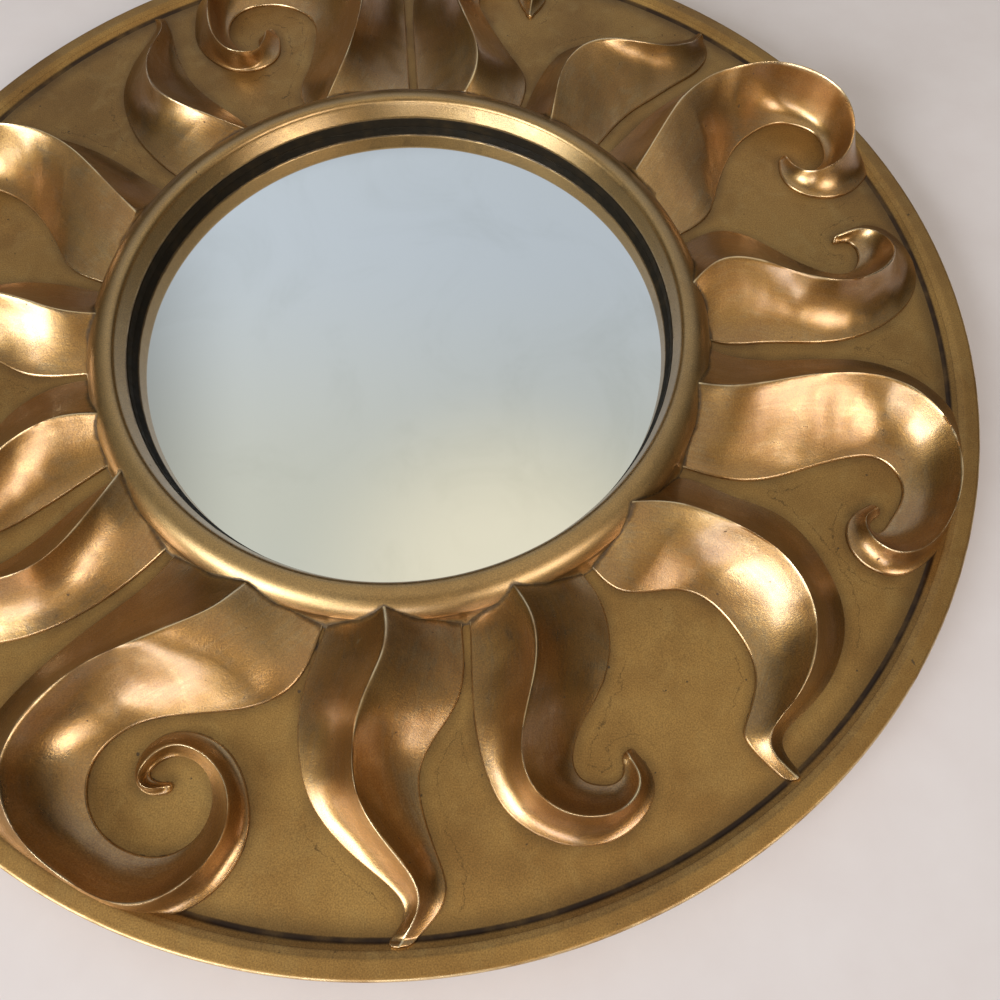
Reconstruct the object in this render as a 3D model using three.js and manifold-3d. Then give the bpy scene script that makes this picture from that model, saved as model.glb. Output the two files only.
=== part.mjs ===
// Convex mirror in a round sunburst frame.
// Millimetres, +Z out of the mirror's face. The origin is at the middle of the back, on the plane
// that the four rubber bumpers rest on, and +Y is the top of the mirror on the wall.

import * as THREE from 'three';
import * as BufferGeometryUtils from 'three/addons/utils/BufferGeometryUtils.js';
import Module from 'manifold-3d';

const wasm = await Module();
wasm.setup();

// ---------------------------------------------------------------- driving dimensions

// frame plate
const FRAME_RADIUS = 304.8;          // 24 inch frame
const PLATE_THICKNESS = 14;
const RIM_TOP_WIDTH = 8;
const RIM_WALL_RUN = 4.5;            // how far the rim's inner wall leans out
const RIM_RISE = 4;
const RIM_EDGE_ROUND = 1.8;

// glass, with what holds it
const GLASS_RADIUS = 152.4;          // 12 inch glass
const GLASS_THICKNESS = 3;
const GLASS_CURVE_RADIUS = 1000;
const GLASS_EDGE_CLEARANCE = 1;
const GLASS_DEPTH = 0.8;             // the glass rim's front edge below the field
const SIGHT_LAP = 8.2;               // the width of glass that the slip hides
const SLIP_LAP = 2.6;                // the dark slip's seat on the plate
const SLIP_RISE = 5.6;               // the slip's top above the field
const CUSHION_WIDTH = 6;
const BOARD_THICKNESS = 3.3;
const BOARD_REBATE_LAP = 9;
const BOARD_CLEARANCE = 0.6;
const BOARD_RECESS = 0.3;

// bezel ring
const BEAD_TOP_RISE = 17.4;
const BEAD_INNER_LEAN = 3.3;          // how far the bead's inner face leans out
const BEAD_INNER_ROUND = 2.4;
const BEAD_BACK_ROUND = 14.5;
const BEAD_BACK_SWEEP = 65;          // degrees of the bead's rounded back
const BEZEL_WIDTH = 22.8;            // from the sight edge to the skirt's foot
const SKIRT_HOLLOW = 2.2;            // 1 is a flat skirt, more is a hollow one

// rays
const RELIEF_SCALE = 1;              // height of the rays against the drawn heights
const ROOT_DROP = 2.9;               // a ray's crest meets the bead this far below its top
const ROOT_TUCK = 10;                // and starts this far inside the skirt's foot
const RAY_FOOT_THICKNESS = 1.1;
const FLANK_HOLLOW = 1.45;           // 1 is a flat flank, more is a hollow one

// back hardware
const BUMPER_HEIGHT = 6;
const BUMPER_RADIUS = 9;
const BUMPER_EDGE_INSET = 29.8;      // from the frame's edge to a bumper's middle
const BUMPER_EDGE_ROUND = 1;
const BUMPER_COUNT = 4;
const BUTTON_COUNT = 4;
const BUTTON_LENGTH = 42;
const BUTTON_WIDTH = 12;
const BUTTON_THICKNESS = 1.1;
const BUTTON_SCREW_INSET = 8;        // from the button's outer end to its screw
const BUTTON_REACH = 14;             // how far the button laps the backing board
const STRAP_WIDTH = 13;
const STRAP_LENGTH = 34;
const STRAP_THICKNESS = 1;
const STRAP_SCREW_SPACING = 16;
const STRAP_SCREW_INSET = 7;
const STRAP_OFFSET_X = 118;
const STRAP_DROP = 108.8;            // from the frame's top to the ring's bar
const RING_WIRE_RADIUS = 1.2;
const RING_WIRE_CLEARANCE = 0.4;
const RING_INNER_WIDTH = 22;
const RING_DEPTH = 20;
const RING_CORNER_RADIUS = 3;
const SCREW_SHAFT_RADIUS = 1.6;
const SCREW_HEAD_RADIUS = 3.4;
const SCREW_HEAD_HEIGHT = 1.6;
const SCREW_HEAD_CROWN_RADIUS = 2.4;
const SCREW_HEAD_RIM_HEIGHT = 0.6;
const SCREW_LENGTH = 9;

// gaps
const MOVING_GAP = 0.3;
const CUT_GAP = 0.35;
const SCREW_HOLE_CLEARANCE = 0.35;

// ---------------------------------------------------------------- levels and radii that follow

const BACK_Z = BUMPER_HEIGHT;
const FIELD_Z = BACK_Z + PLATE_THICKNESS;
const RIM_Z = FIELD_Z + RIM_RISE;
const RIM_INNER_TOP_RADIUS = FRAME_RADIUS - RIM_EDGE_ROUND - RIM_TOP_WIDTH;
const FIELD_OUTER_RADIUS = RIM_INNER_TOP_RADIUS - RIM_WALL_RUN;
const OPENING_RADIUS = GLASS_RADIUS + GLASS_EDGE_CLEARANCE;
const SLIP_OUTER_RADIUS = OPENING_RADIUS + SLIP_LAP;
const SIGHT_RADIUS = GLASS_RADIUS - SIGHT_LAP;
const BEZEL_FOOT_RADIUS = SIGHT_RADIUS + BEZEL_WIDTH;
const FIELD_INNER_RADIUS = BEZEL_FOOT_RADIUS;
const BOARD_SEAT_RADIUS = OPENING_RADIUS + BOARD_REBATE_LAP;
const BOARD_RADIUS = BOARD_SEAT_RADIUS - BOARD_CLEARANCE;
const BOARD_TOP_Z = BACK_Z + BOARD_RECESS + BOARD_THICKNESS;
const GLASS_CENTRE_Z = FIELD_Z - GLASS_DEPTH - Math.sqrt(GLASS_CURVE_RADIUS ** 2 - GLASS_RADIUS ** 2);
const STRAP_HEAD_Z = BACK_Z - STRAP_THICKNESS;
const SCREW_HOLE_RADIUS = SCREW_SHAFT_RADIUS + SCREW_HOLE_CLEARANCE;
const STRAP_Y = FRAME_RADIUS - STRAP_DROP;
const BUMPER_CIRCLE_RADIUS = FRAME_RADIUS - BUMPER_EDGE_INSET;

// facets
const RING_SEGMENTS = 96;
const GLASS_SEGMENTS = 72;
const SMALL_SEGMENTS = 20;
const RAY_STEPS_PER_SPAN = 2;
const RING_SIDES = 8;
const RING_CORNER_STEPS = 6;
const EYE_SEGMENTS = 9;
const BUTTON_END_SEGMENTS = 10;
const GLASS_RINGS = 8;
const BEAD_FRONT_STEPS = 3;
const BEAD_BACK_STEPS = 6;
const SKIRT_STEPS = 3;
const FLANK_SHARES = [0, 0.35, 0.7];  // where a flank's section bends, from foot to crest
const SAME_POINT = 1e-4;
const HALF_TURN = 180;

// ---------------------------------------------------------------- materials

const material = (color, roughness, metalness) => (
  new THREE.MeshStandardMaterial({ color, roughness, metalness })
);
const FIELD_GOLD = material(0x8a6a3a, 0.55, 0.6);
const BEZEL_GOLD = material(0xa3834f, 0.32, 0.85);
const FLAME_GOLD = material(0xb08a52, 0.36, 0.85);
const VOLUTE_GOLD = material(0xb5915c, 0.34, 0.85);
const SLIP_BLACK = material(0x11130f, 0.5, 0.1);
const MIRROR_SILVER = material(0xdfe3e6, 0.04, 1);
const FELT_GREY = material(0x5c5a56, 0.95, 0);
const BOARD_BROWN = material(0x6f5238, 0.85, 0);
const BRASS = material(0xb6914a, 0.35, 0.9);
const ZINC = material(0xb9bcc0, 0.35, 0.9);
const RUBBER_BLACK = material(0x1b1b1c, 0.8, 0);

// ---------------------------------------------------------------- solids and cuts

const onlyPositions = (geometry) => {
  const plain = geometry.clone();
  plain.deleteAttribute('normal');
  plain.deleteAttribute('uv');
  return BufferGeometryUtils.mergeVertices(plain, SAME_POINT);
};

const toSolid = (geometry) => {
  const merged = onlyPositions(geometry);
  return new wasm.Manifold(new wasm.Mesh({
    numProp: 3,
    vertProperties: new Float32Array(merged.getAttribute('position').array),
    triVerts: new Uint32Array(merged.index.array),
  }));
};

const toGeometry = (solid) => {
  const mesh = solid.getMesh();
  const geometry = new THREE.BufferGeometry();
  geometry.setAttribute('position', new THREE.BufferAttribute(new Float32Array(mesh.vertProperties), 3));
  geometry.setIndex(new THREE.BufferAttribute(new Uint32Array(mesh.triVerts), 1));
  geometry.computeVertexNormals();
  return geometry;
};

// A closed skin over rings of points that all have the same count. Each ring runs anticlockwise seen
// from the far end. A closed loft joins its last ring to its first; an open one gets two flat ends.
const loft = (rings, closed = false) => {
  const count = rings[0].length;
  const positions = rings.flat().flatMap((p) => [p.x, p.y, p.z]);
  const index = [];
  const spans = closed ? rings.length : rings.length - 1;
  for (let i = 0; i < spans; i += 1) {
    const here = i * count;
    const next = ((i + 1) % rings.length) * count;
    for (let j = 0; j < count; j += 1) {
      const k = (j + 1) % count;
      index.push(here + j, here + k, next + k, here + j, next + k, next + j);
    }
  }
  if (!closed) {
    const end = (rings.length - 1) * count;
    for (let j = 1; j < count - 1; j += 1) {
      index.push(0, j + 1, j);
      index.push(end, end + j, end + j + 1);
    }
  }
  const geometry = new THREE.BufferGeometry();
  geometry.setAttribute('position', new THREE.Float32BufferAttribute(positions, 3));
  geometry.setIndex(index);
  return geometry;
};

// A ring turned about Z from a closed outline of [radius, height] points.
const turned = (outline, segments) => {
  const points = [...outline, outline[0]].map(([r, z]) => new THREE.Vector2(r, z));
  return new THREE.LatheGeometry(points, segments).rotateX(Math.PI / 2);
};

const cylinder = (radius, bottom, top) => (
  new THREE.CylinderGeometry(radius, radius, top - bottom, SMALL_SEGMENTS)
    .rotateX(Math.PI / 2)
    .translate(0, 0, (bottom + top) / 2)
);

const named = (name, geometry, finish) => {
  const mesh = new THREE.Mesh(geometry, finish);
  mesh.name = name;
  return mesh;
};

const polar = (radius, degrees) => {
  const angle = THREE.MathUtils.degToRad(degrees);
  return [radius * Math.cos(angle), radius * Math.sin(angle)];
};

// ---------------------------------------------------------------- frame plate and its openings

const ringOfAngles = (count, first) => (
  Array.from({ length: count }, (_, i) => first + (i * 2 * HALF_TURN) / count)
);

const BUTTON_SCREW_RADIUS = BOARD_RADIUS - BUTTON_REACH + BUTTON_LENGTH - BUTTON_SCREW_INSET;
const BUTTON_ANGLES = ringOfAngles(BUTTON_COUNT, HALF_TURN / BUTTON_COUNT);
const BUMPER_ANGLES = ringOfAngles(BUMPER_COUNT, HALF_TURN / BUMPER_COUNT);
const STRAP_LOWER_SCREW_Y = STRAP_Y - STRAP_LENGTH + STRAP_SCREW_INSET;
const STRAP_SCREW_YS = [STRAP_LOWER_SCREW_Y, STRAP_LOWER_SCREW_Y + STRAP_SCREW_SPACING];

const buttonScrewPlaces = BUTTON_ANGLES.map((angle) => polar(BUTTON_SCREW_RADIUS, angle));
const bumperPlaces = BUMPER_ANGLES.map((angle) => polar(BUMPER_CIRCLE_RADIUS, angle));
const strapSides = [{ side: 'left', x: -STRAP_OFFSET_X }, { side: 'right', x: STRAP_OFFSET_X }];
const strapScrewPlaces = strapSides.flatMap(({ x }) => STRAP_SCREW_YS.map((y) => [x, y]));

const framePlate = () => {
  const outline = [
    [OPENING_RADIUS, BOARD_TOP_Z],
    [BOARD_SEAT_RADIUS, BOARD_TOP_Z],
    [BOARD_SEAT_RADIUS, BACK_Z],
    [FRAME_RADIUS - RIM_EDGE_ROUND, BACK_Z],
    [FRAME_RADIUS, BACK_Z + RIM_EDGE_ROUND],
    [FRAME_RADIUS, RIM_Z - RIM_EDGE_ROUND],
    [FRAME_RADIUS - RIM_EDGE_ROUND, RIM_Z],
    [RIM_INNER_TOP_RADIUS, RIM_Z],
    [FIELD_OUTER_RADIUS, FIELD_Z],
    [OPENING_RADIUS, FIELD_Z],
  ];
  let plate = toSolid(turned(outline, RING_SEGMENTS));
  const holeTop = BACK_Z + SCREW_LENGTH + SCREW_HOLE_CLEARANCE;
  const hole = toSolid(cylinder(SCREW_HOLE_RADIUS, BACK_Z - 1, holeTop));
  for (const [x, y] of [...buttonScrewPlaces, ...bumperPlaces, ...strapScrewPlaces]) {
    plate = plate.subtract(hole.translate([x, y, 0]));
  }
  return named('frame_plate', toGeometry(plate), FIELD_GOLD);
};

// ---------------------------------------------------------------- bezel ring and dark slip

const SLIP_TOP_Z = FIELD_Z + SLIP_RISE;

// The bezel's visible curve, from the bead's leaning inner face over its top and down the skirt.
const bezelCurve = (gap) => {
  const beadTopRadius = SIGHT_RADIUS + BEAD_INNER_LEAN + BEAD_INNER_ROUND;
  const lean = Math.atan2(BEAD_INNER_LEAN, BEAD_TOP_RISE - BEAD_INNER_ROUND - SLIP_RISE);
  const curve = [];
  for (let i = 0; i <= BEAD_FRONT_STEPS; i += 1) {
    const angle = THREE.MathUtils.lerp(lean, Math.PI / 2, i / BEAD_FRONT_STEPS);
    curve.push([
      beadTopRadius - (BEAD_INNER_ROUND + gap) * Math.cos(angle),
      FIELD_Z + BEAD_TOP_RISE - BEAD_INNER_ROUND + (BEAD_INNER_ROUND + gap) * Math.sin(angle),
    ]);
  }
  for (let i = 1; i <= BEAD_BACK_STEPS; i += 1) {
    const angle = (i / BEAD_BACK_STEPS) * THREE.MathUtils.degToRad(BEAD_BACK_SWEEP);
    curve.push([
      beadTopRadius + (BEAD_BACK_ROUND + gap) * Math.sin(angle),
      FIELD_Z + BEAD_TOP_RISE - BEAD_BACK_ROUND + (BEAD_BACK_ROUND + gap) * Math.cos(angle),
    ]);
  }
  const [waistRadius, waistZ] = curve[curve.length - 1];
  for (let i = 1; i <= SKIRT_STEPS; i += 1) {
    const share = i / SKIRT_STEPS;
    curve.push([
      THREE.MathUtils.lerp(waistRadius, BEZEL_FOOT_RADIUS + gap, share ** SKIRT_HOLLOW),
      THREE.MathUtils.lerp(waistZ, FIELD_Z, share),
    ]);
  }
  return curve;
};

const bezelRing = () => {
  const slipSeatRadius = SLIP_OUTER_RADIUS + CUT_GAP;
  const outline = [
    ...bezelCurve(0).reverse(),
    [SIGHT_RADIUS, SLIP_TOP_Z],
    [slipSeatRadius, SLIP_TOP_Z],
    [slipSeatRadius, FIELD_Z],
  ];
  return named('bezel_ring', turned(outline, RING_SEGMENTS), BEZEL_GOLD);
};

const domeZ = (curveRadius, radius) => GLASS_CENTRE_Z + Math.sqrt(curveRadius ** 2 - radius ** 2);
const glassFrontZ = (radius) => domeZ(GLASS_CURVE_RADIUS, radius);
const glassBackZ = (radius) => domeZ(GLASS_CURVE_RADIUS - GLASS_THICKNESS, radius);

const darkSlip = () => {
  const collarRadius = OPENING_RADIUS - CUT_GAP;
  const outline = [
    [SIGHT_RADIUS, glassFrontZ(SIGHT_RADIUS) + CUT_GAP],
    [collarRadius, glassFrontZ(collarRadius) + CUT_GAP],
    [collarRadius, FIELD_Z],
    [SLIP_OUTER_RADIUS, FIELD_Z],
    [SLIP_OUTER_RADIUS, SLIP_TOP_Z],
    [SIGHT_RADIUS, SLIP_TOP_Z],
  ];
  return named('dark_slip', turned(outline, RING_SEGMENTS), SLIP_BLACK);
};

// ---------------------------------------------------------------- glass, cushion and backing board

const mirrorGlass = () => {
  const radii = Array.from({ length: GLASS_RINGS + 1 }, (_, i) => (i / GLASS_RINGS) * GLASS_RADIUS);
  const back = radii.map((r) => new THREE.Vector2(r, glassBackZ(r)));
  const front = radii.map((r) => new THREE.Vector2(r, glassFrontZ(r))).reverse();
  const geometry = new THREE.LatheGeometry([...back, ...front], GLASS_SEGMENTS).rotateX(Math.PI / 2);
  return named('mirror_glass', geometry, MIRROR_SILVER);
};

const cushionRing = () => {
  const inner = GLASS_RADIUS - CUSHION_WIDTH;
  const outline = [
    [inner, BOARD_TOP_Z],
    [GLASS_RADIUS, BOARD_TOP_Z],
    [GLASS_RADIUS, glassBackZ(GLASS_RADIUS) - CUT_GAP],
    [inner, glassBackZ(inner) - CUT_GAP],
  ];
  return named('cushion_ring', turned(outline, RING_SEGMENTS), FELT_GREY);
};

const backingBoard = () => {
  const geometry = new THREE.CylinderGeometry(BOARD_RADIUS, BOARD_RADIUS, BOARD_THICKNESS, RING_SEGMENTS)
    .rotateX(Math.PI / 2)
    .translate(0, 0, BOARD_TOP_Z - BOARD_THICKNESS / 2);
  return named('backing_board', geometry, BOARD_BROWN);
};

// ---------------------------------------------------------------- rays

// The rays are drawn on the plan of the field, in millimetres from the mirror's centre. Each row is one
// station, from the root to the tip: left foot x, y, then crest x, y and rise above the field, then
// right foot x, y. Left and right are as seen looking out along the ray.

const SOUTH_FLAME = [
  [34, -158, 0, -157, 17, -26, -159],
  [36, -180, 2, -176, 21, -33, -180],
  [32, -200, -5, -198, 25, -37, -203],
  [20, -219, -8, -218, 26, -35, -222],
  [18, -236, -5, -236, 25, -28, -240],
  [26, -259, 9, -256, 20, -6, -262],
  [30, -276, 20, -274, 11, 13, -278],
  [19, -290, 13.5, -290.2, 3, 8, -290.4],
];

const SOUTH_VOLUTE = [
  [89, -135, 58, -147, 17, 38, -156],
  [99, -150, 66, -163, 21, 39, -177],
  [103, -172, 67, -184, 24, 40, -197],
  [97, -193, 62, -206, 25, 43, -217],
  [88, -208, 61, -223, 24, 50, -236],
  [84, -222, 67, -235, 21, 61, -248],
  [88, -230, 80, -243, 17, 80, -256],
  [94, -232, 95, -244, 13, 101, -254],
  [100, -232, 107, -239, 9, 116, -242],
  [105, -229, 112, -230, 7, 119, -229],
  [106, -224, 109, -222, 4, 112, -219],
];

const SOUTH_EAST_FLAME = [
  [134, -91, 112, -107, 17, 93, -131],
  [146, -89, 131, -109, 21, 108, -146],
  [167, -98, 152, -118, 26, 131, -146],
  [191, -109, 172, -130, 27, 150, -151],
  [208, -133, 187, -150, 26, 165, -171],
  [213, -163, 190, -174, 21, 168, -188],
  [195, -196, 179, -199, 13, 162, -205],
  [177, -212, 169, -214, 6, 161, -215],
  [181, -225, 178, -227, 3, 174, -229],
];

const EAST_VOLUTE_LOWER = [
  [161, -11, 152, -42, 17, 140, -81],
  [177, -18, 168, -48, 22, 161, -88],
  [200, -20, 192, -46, 26, 185, -89],
  [226, -19, 216, -43, 27, 213, -81],
  [251, -21, 241, -45, 27, 237, -76],
  [273, -31, 260, -56, 26, 248, -80],
  [289, -53, 271, -75, 24, 253, -89],
  [287, -84, 271, -97, 21, 252, -99],
  [276, -110, 263, -116, 18, 247, -107],
  [259, -131, 250, -129, 15, 243, -112],
  [240, -139, 237, -130, 12, 238, -117],
  [223, -129, 229, -121, 9, 234, -116],
  [222, -112, 229, -111, 7, 234, -112],
  [234, -103, 236, -106, 4, 238, -109],
];

const EAST_VOLUTE_UPPER = [
  [153, 53, 154, 17, 17, 161, -5],
  [173, 65, 167, 27, 23, 174, -10],
  [193, 63, 186, 26, 26, 196, -9],
  [214, 49, 207, 18, 26, 219, -9],
  [234, 38, 229, 13, 26, 242, -6],
  [247, 37, 249, 19, 24, 262, 3],
  [254, 43, 263, 32, 20, 279, 18],
  [256, 51, 268, 47, 15, 287, 42],
  [254, 57, 264, 59, 10, 277, 66],
  [250, 59, 256, 63, 7, 262, 71],
  [245, 58, 246, 61, 4, 247, 64],
];

const NORTH_EAST_VOLUTE = [
  [112, 117, 130, 97, 17, 150, 60],
  [129, 137, 145, 121, 22, 172, 76],
  [147, 157, 159, 142, 26, 180, 96],
  [168, 174, 177, 156, 29, 190, 121],
  [190, 188, 197, 163, 30, 203, 138],
  [215, 199, 217, 165, 30, 222, 149],
  [244, 176, 239, 157, 29, 240, 145],
  [265, 142, 254, 142, 26, 247, 136],
  [274, 119, 257, 122, 22, 248, 123],
  [266, 101, 250, 106, 17, 243, 114],
  [248, 91, 239, 101, 13, 237, 110],
  [229, 94, 231, 102, 10, 233, 110],
  [220, 106, 226, 109, 7, 230, 112],
  [220, 117, 224, 118, 4, 228, 118],
];

const NORTH_FLAME = [
  [64, 149, 82, 134, 17, 107, 123],
  [72, 172, 85, 150, 20, 120, 142],
  [81, 193, 90, 168, 24, 134, 158],
  [95, 210, 103, 183, 26, 149, 170],
  [116, 217, 122, 189, 25, 160, 179],
  [139, 216, 143, 191, 21, 171, 187],
  [160, 217, 160, 197, 15, 181, 197],
  [175, 221, 174, 209, 8, 186, 210],
  [180, 225, 182, 222, 3, 184, 219],
];

const NORTH_VOLUTE_RIGHT = [
  [1, 162, 31, 157, 17, 61, 150],
  [0, 180, 37, 167, 20, 67, 168],
  [-2, 203, 38, 184, 24, 68, 186],
  [-4, 228, 32, 203, 26, 58, 207],
  [-5, 252, 25, 224, 26, 47, 230],
  [2, 276, 22, 247, 24, 39, 250],
  [23, 292, 31, 268, 20, 41, 262],
  [49, 294, 49, 279, 16, 50, 269],
  [74, 282, 66, 273, 12, 59, 266],
  [84, 264, 74, 260, 9, 64, 259],
  [80, 250, 73, 249, 6, 66, 251],
  [75, 243, 72, 243, 3, 69, 245],
];

const NORTH_VOLUTE_LEFT = [
  [-63, 149, -51, 151, 17, -3, 162],
  [-72, 171, -43, 168, 21, -5, 182],
  [-69, 190, -38, 184, 24, -7, 205],
  [-67, 208, -34, 203, 27, -9, 228],
  [-67, 224, -33, 227, 28, -11, 252],
  [-72, 237, -41, 251, 28, -18, 274],
  [-84, 246, -62, 268, 27, -45, 292],
  [-98, 249, -90, 274, 26, -86, 287],
  [-112, 246, -115, 264, 24, -126, 269],
  [-121, 237, -129, 245, 23, -145, 252],
  [-123, 224, -130, 223, 21, -146, 231],
  [-119, 213, -127, 205, 18, -142, 212],
  [-112, 206, -119, 193, 15, -130, 197],
  [-104, 204, -107, 190, 13, -112, 188],
  [-101, 207, -99, 197, 10, -95, 193],
  [-102, 210, -98, 205, 8, -88, 204],
  [-103, 213, -97, 212, 7, -89, 213],
  [-103, 218, -97, 219, 7, -90, 219],
  [-99, 222, -96, 222, 3, -93, 222],
];

const NORTH_WEST_FLAME = [
  [-130, 97, -97, 126, 17, -92, 133],
  [-148, 111, -114, 129, 20, -108, 149],
  [-163, 127, -130, 134, 23, -122, 160],
  [-174, 145, -144, 141, 25, -134, 171],
  [-181, 168, -153, 153, 25, -143, 182],
  [-179, 194, -158, 173, 23, -150, 195],
  [-173, 213, -160, 196, 16, -156, 209],
  [-170, 225, -162, 217, 9, -160, 222],
  [-172, 232, -168, 230, 3, -165, 233],
];

const SOUTH_WEST_VOLUTE = [
  [-29, -160, -63, -147, 17, -101, -127],
  [-32, -173, -72, -158, 21, -111, -141],
  [-41, -191, -84, -166, 25, -123, -153],
  [-63, -201, -99, -174, 28, -137, -165],
  [-95, -204, -120, -184, 28, -154, -182],
  [-115, -212, -139, -201, 27, -171, -205],
  [-124, -226, -149, -224, 25, -176, -230],
  [-121, -243, -140, -248, 22, -162, -251],
  [-107, -256, -117, -267, 18, -128, -271],
  [-89, -260, -92, -276, 15, -97, -283],
  [-75, -253, -71, -267, 14, -68, -276],
  [-70, -240, -60, -251, 13, -54, -255],
  [-73, -229, -61, -235, 11, -55, -237],
  [-81, -222, -71, -222, 9, -65, -219],
  [-90, -221, -86, -216, 8, -85, -210],
  [-97, -225, -97, -221, 7, -101, -216],
  [-98, -229, -101, -230, 7, -105, -230],
  [-94, -231, -95, -234, 7, -97, -237],
  [-90, -231, -90, -233, 3, -90, -236],
];

// A ray's place on the field: its drawn middle angle goes to a new one, and a spread of less than 1
// narrows it. A negative spread mirrors it, which swaps its left and right feet.
const turnedRows = (rows, { from, to, spread }) => {
  const turn = (x, y) => {
    const angle = THREE.MathUtils.radToDeg(Math.atan2(y, x));
    const offset = THREE.MathUtils.euclideanModulo(angle - from + HALF_TURN, 2 * HALF_TURN) - HALF_TURN;
    return polar(Math.hypot(x, y), to + offset * spread);
  };
  return rows.map(([lx, ly, cx, cy, rise, rx, ry]) => {
    const feet = [turn(lx, ly), turn(rx, ry)];
    const [left, right] = spread < 0 ? feet.reverse() : feet;
    return [...left, ...turn(cx, cy), rise, ...right];
  });
};

const RAYS = [
  { name: 'ray_01_flame', rows: SOUTH_FLAME },
  { name: 'ray_02_volute', rows: SOUTH_VOLUTE },
  { name: 'ray_03_flame', rows: SOUTH_EAST_FLAME },
  { name: 'ray_04_volute', rows: EAST_VOLUTE_LOWER },
  { name: 'ray_05_volute', rows: EAST_VOLUTE_UPPER },
  { name: 'ray_06_volute', rows: NORTH_EAST_VOLUTE },
  { name: 'ray_07_flame', rows: NORTH_FLAME },
  { name: 'ray_08_volute', rows: NORTH_VOLUTE_RIGHT },
  { name: 'ray_09_volute', rows: NORTH_VOLUTE_LEFT },
  { name: 'ray_10_flame', rows: NORTH_WEST_FLAME },
  { name: 'ray_11_volute', rows: turnedRows(NORTH_EAST_VOLUTE, { from: 34, to: 159.5, spread: -0.96 }) },
  { name: 'ray_12_flame', rows: turnedRows(SOUTH_FLAME, { from: 271.2, to: 182, spread: 0.82 }) },
  { name: 'ray_13_volute', rows: turnedRows(SOUTH_VOLUTE, { from: 293.6, to: 201, spread: -0.9 }) },
  { name: 'ray_14_flame', rows: turnedRows(NORTH_WEST_FLAME, { from: 134.2, to: 221.5, spread: 0.9 }) },
  { name: 'ray_15_volute', rows: SOUTH_WEST_VOLUTE },
];

// The south flame's crest starts tucked inside the skirt's foot and ends at the rim's foot.
const drawnRadius = ([, , x, y]) => Math.hypot(x, y);
const DRAWN_FIELD_INNER = drawnRadius(SOUTH_FLAME[0]) + ROOT_TUCK;
const DRAWN_FIELD_OUTER = drawnRadius(SOUTH_FLAME[SOUTH_FLAME.length - 1]);

// A drawn point keeps its share of the way from the bezel's foot to the rim's foot.
const onField = (x, y) => {
  const share = (Math.hypot(x, y) - DRAWN_FIELD_INNER) / (DRAWN_FIELD_OUTER - DRAWN_FIELD_INNER);
  const radius = THREE.MathUtils.lerp(FIELD_INNER_RADIUS, FIELD_OUTER_RADIUS, share);
  const angle = Math.atan2(y, x);
  return [radius * Math.cos(angle), radius * Math.sin(angle)];
};

const rail = (points) => new THREE.CatmullRomCurve3(points, false, 'centripetal');

// The cross-section of a ray at one station, as a closed ring of points.
const raySection = (left, crest, right) => {
  const footZ = FIELD_Z + RAY_FOOT_THICKNESS;
  const crestZ = FIELD_Z + crest.z;
  const onFlank = (foot, share) => new THREE.Vector3(
    THREE.MathUtils.lerp(foot.x, crest.x, share),
    THREE.MathUtils.lerp(foot.y, crest.y, share),
    THREE.MathUtils.lerp(footZ, crestZ, share ** FLANK_HOLLOW),
  );
  return [
    new THREE.Vector3(left.x, left.y, FIELD_Z),
    ...FLANK_SHARES.map((share) => onFlank(left, share)),
    onFlank(left, 1),
    ...[...FLANK_SHARES].reverse().map((share) => onFlank(right, share)),
    new THREE.Vector3(right.x, right.y, FIELD_Z),
  ];
};

// What a ray may not reach into: the bezel, with a hairline gap, and all that lies within it.
const bezelKeepOut = () => {
  const curve = bezelCurve(CUT_GAP).slice(BEAD_FRONT_STEPS);
  const beadTop = curve[0];
  return toSolid(turned([
    [SIGHT_RADIUS, FIELD_Z - 1],
    [curve[curve.length - 1][0], FIELD_Z - 1],
    ...[...curve].reverse(),
    [beadTop[0], beadTop[1] + BEAD_TOP_RISE],
    [SIGHT_RADIUS, beadTop[1] + BEAD_TOP_RISE],
  ], RING_SEGMENTS));
};

// The rim under a ray that climbs over it.
const rimKeepOut = () => toSolid(turned([
  [FIELD_OUTER_RADIUS - CUT_GAP, FIELD_Z - 1],
  [FRAME_RADIUS + 1, FIELD_Z - 1],
  [FRAME_RADIUS + 1, RIM_Z],
  [RIM_INNER_TOP_RADIUS - CUT_GAP, RIM_Z],
  [FIELD_OUTER_RADIUS - CUT_GAP, FIELD_Z],
], RING_SEGMENTS));

const sunRay = ({ name, rows }, keepOuts) => {
  const rootRise = BEAD_TOP_RISE - ROOT_DROP;
  const leftRail = rail(rows.map(([x, y]) => new THREE.Vector3(...onField(x, y), 0)));
  const crestRail = rail(rows.map(([, , x, y, rise], i) => {
    const crestRise = i === 0 ? rootRise : rise * RELIEF_SCALE;
    return new THREE.Vector3(...onField(x, y), crestRise);
  }));
  const rightRail = rail(rows.map((row) => new THREE.Vector3(...onField(row[5], row[6]), 0)));
  const steps = (rows.length - 1) * RAY_STEPS_PER_SPAN;
  const sections = Array.from({ length: steps + 1 }, (_, i) => {
    const along = i / steps;
    return raySection(leftRail.getPoint(along), crestRail.getPoint(along), rightRail.getPoint(along));
  });
  const ray = keepOuts.reduce((solid, keepOut) => solid.subtract(keepOut), toSolid(loft(sections)));
  return named(name, toGeometry(ray), name.endsWith('flame') ? FLAME_GOLD : VOLUTE_GOLD);
};

// ---------------------------------------------------------------- screws, turn buttons and bumpers

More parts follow.
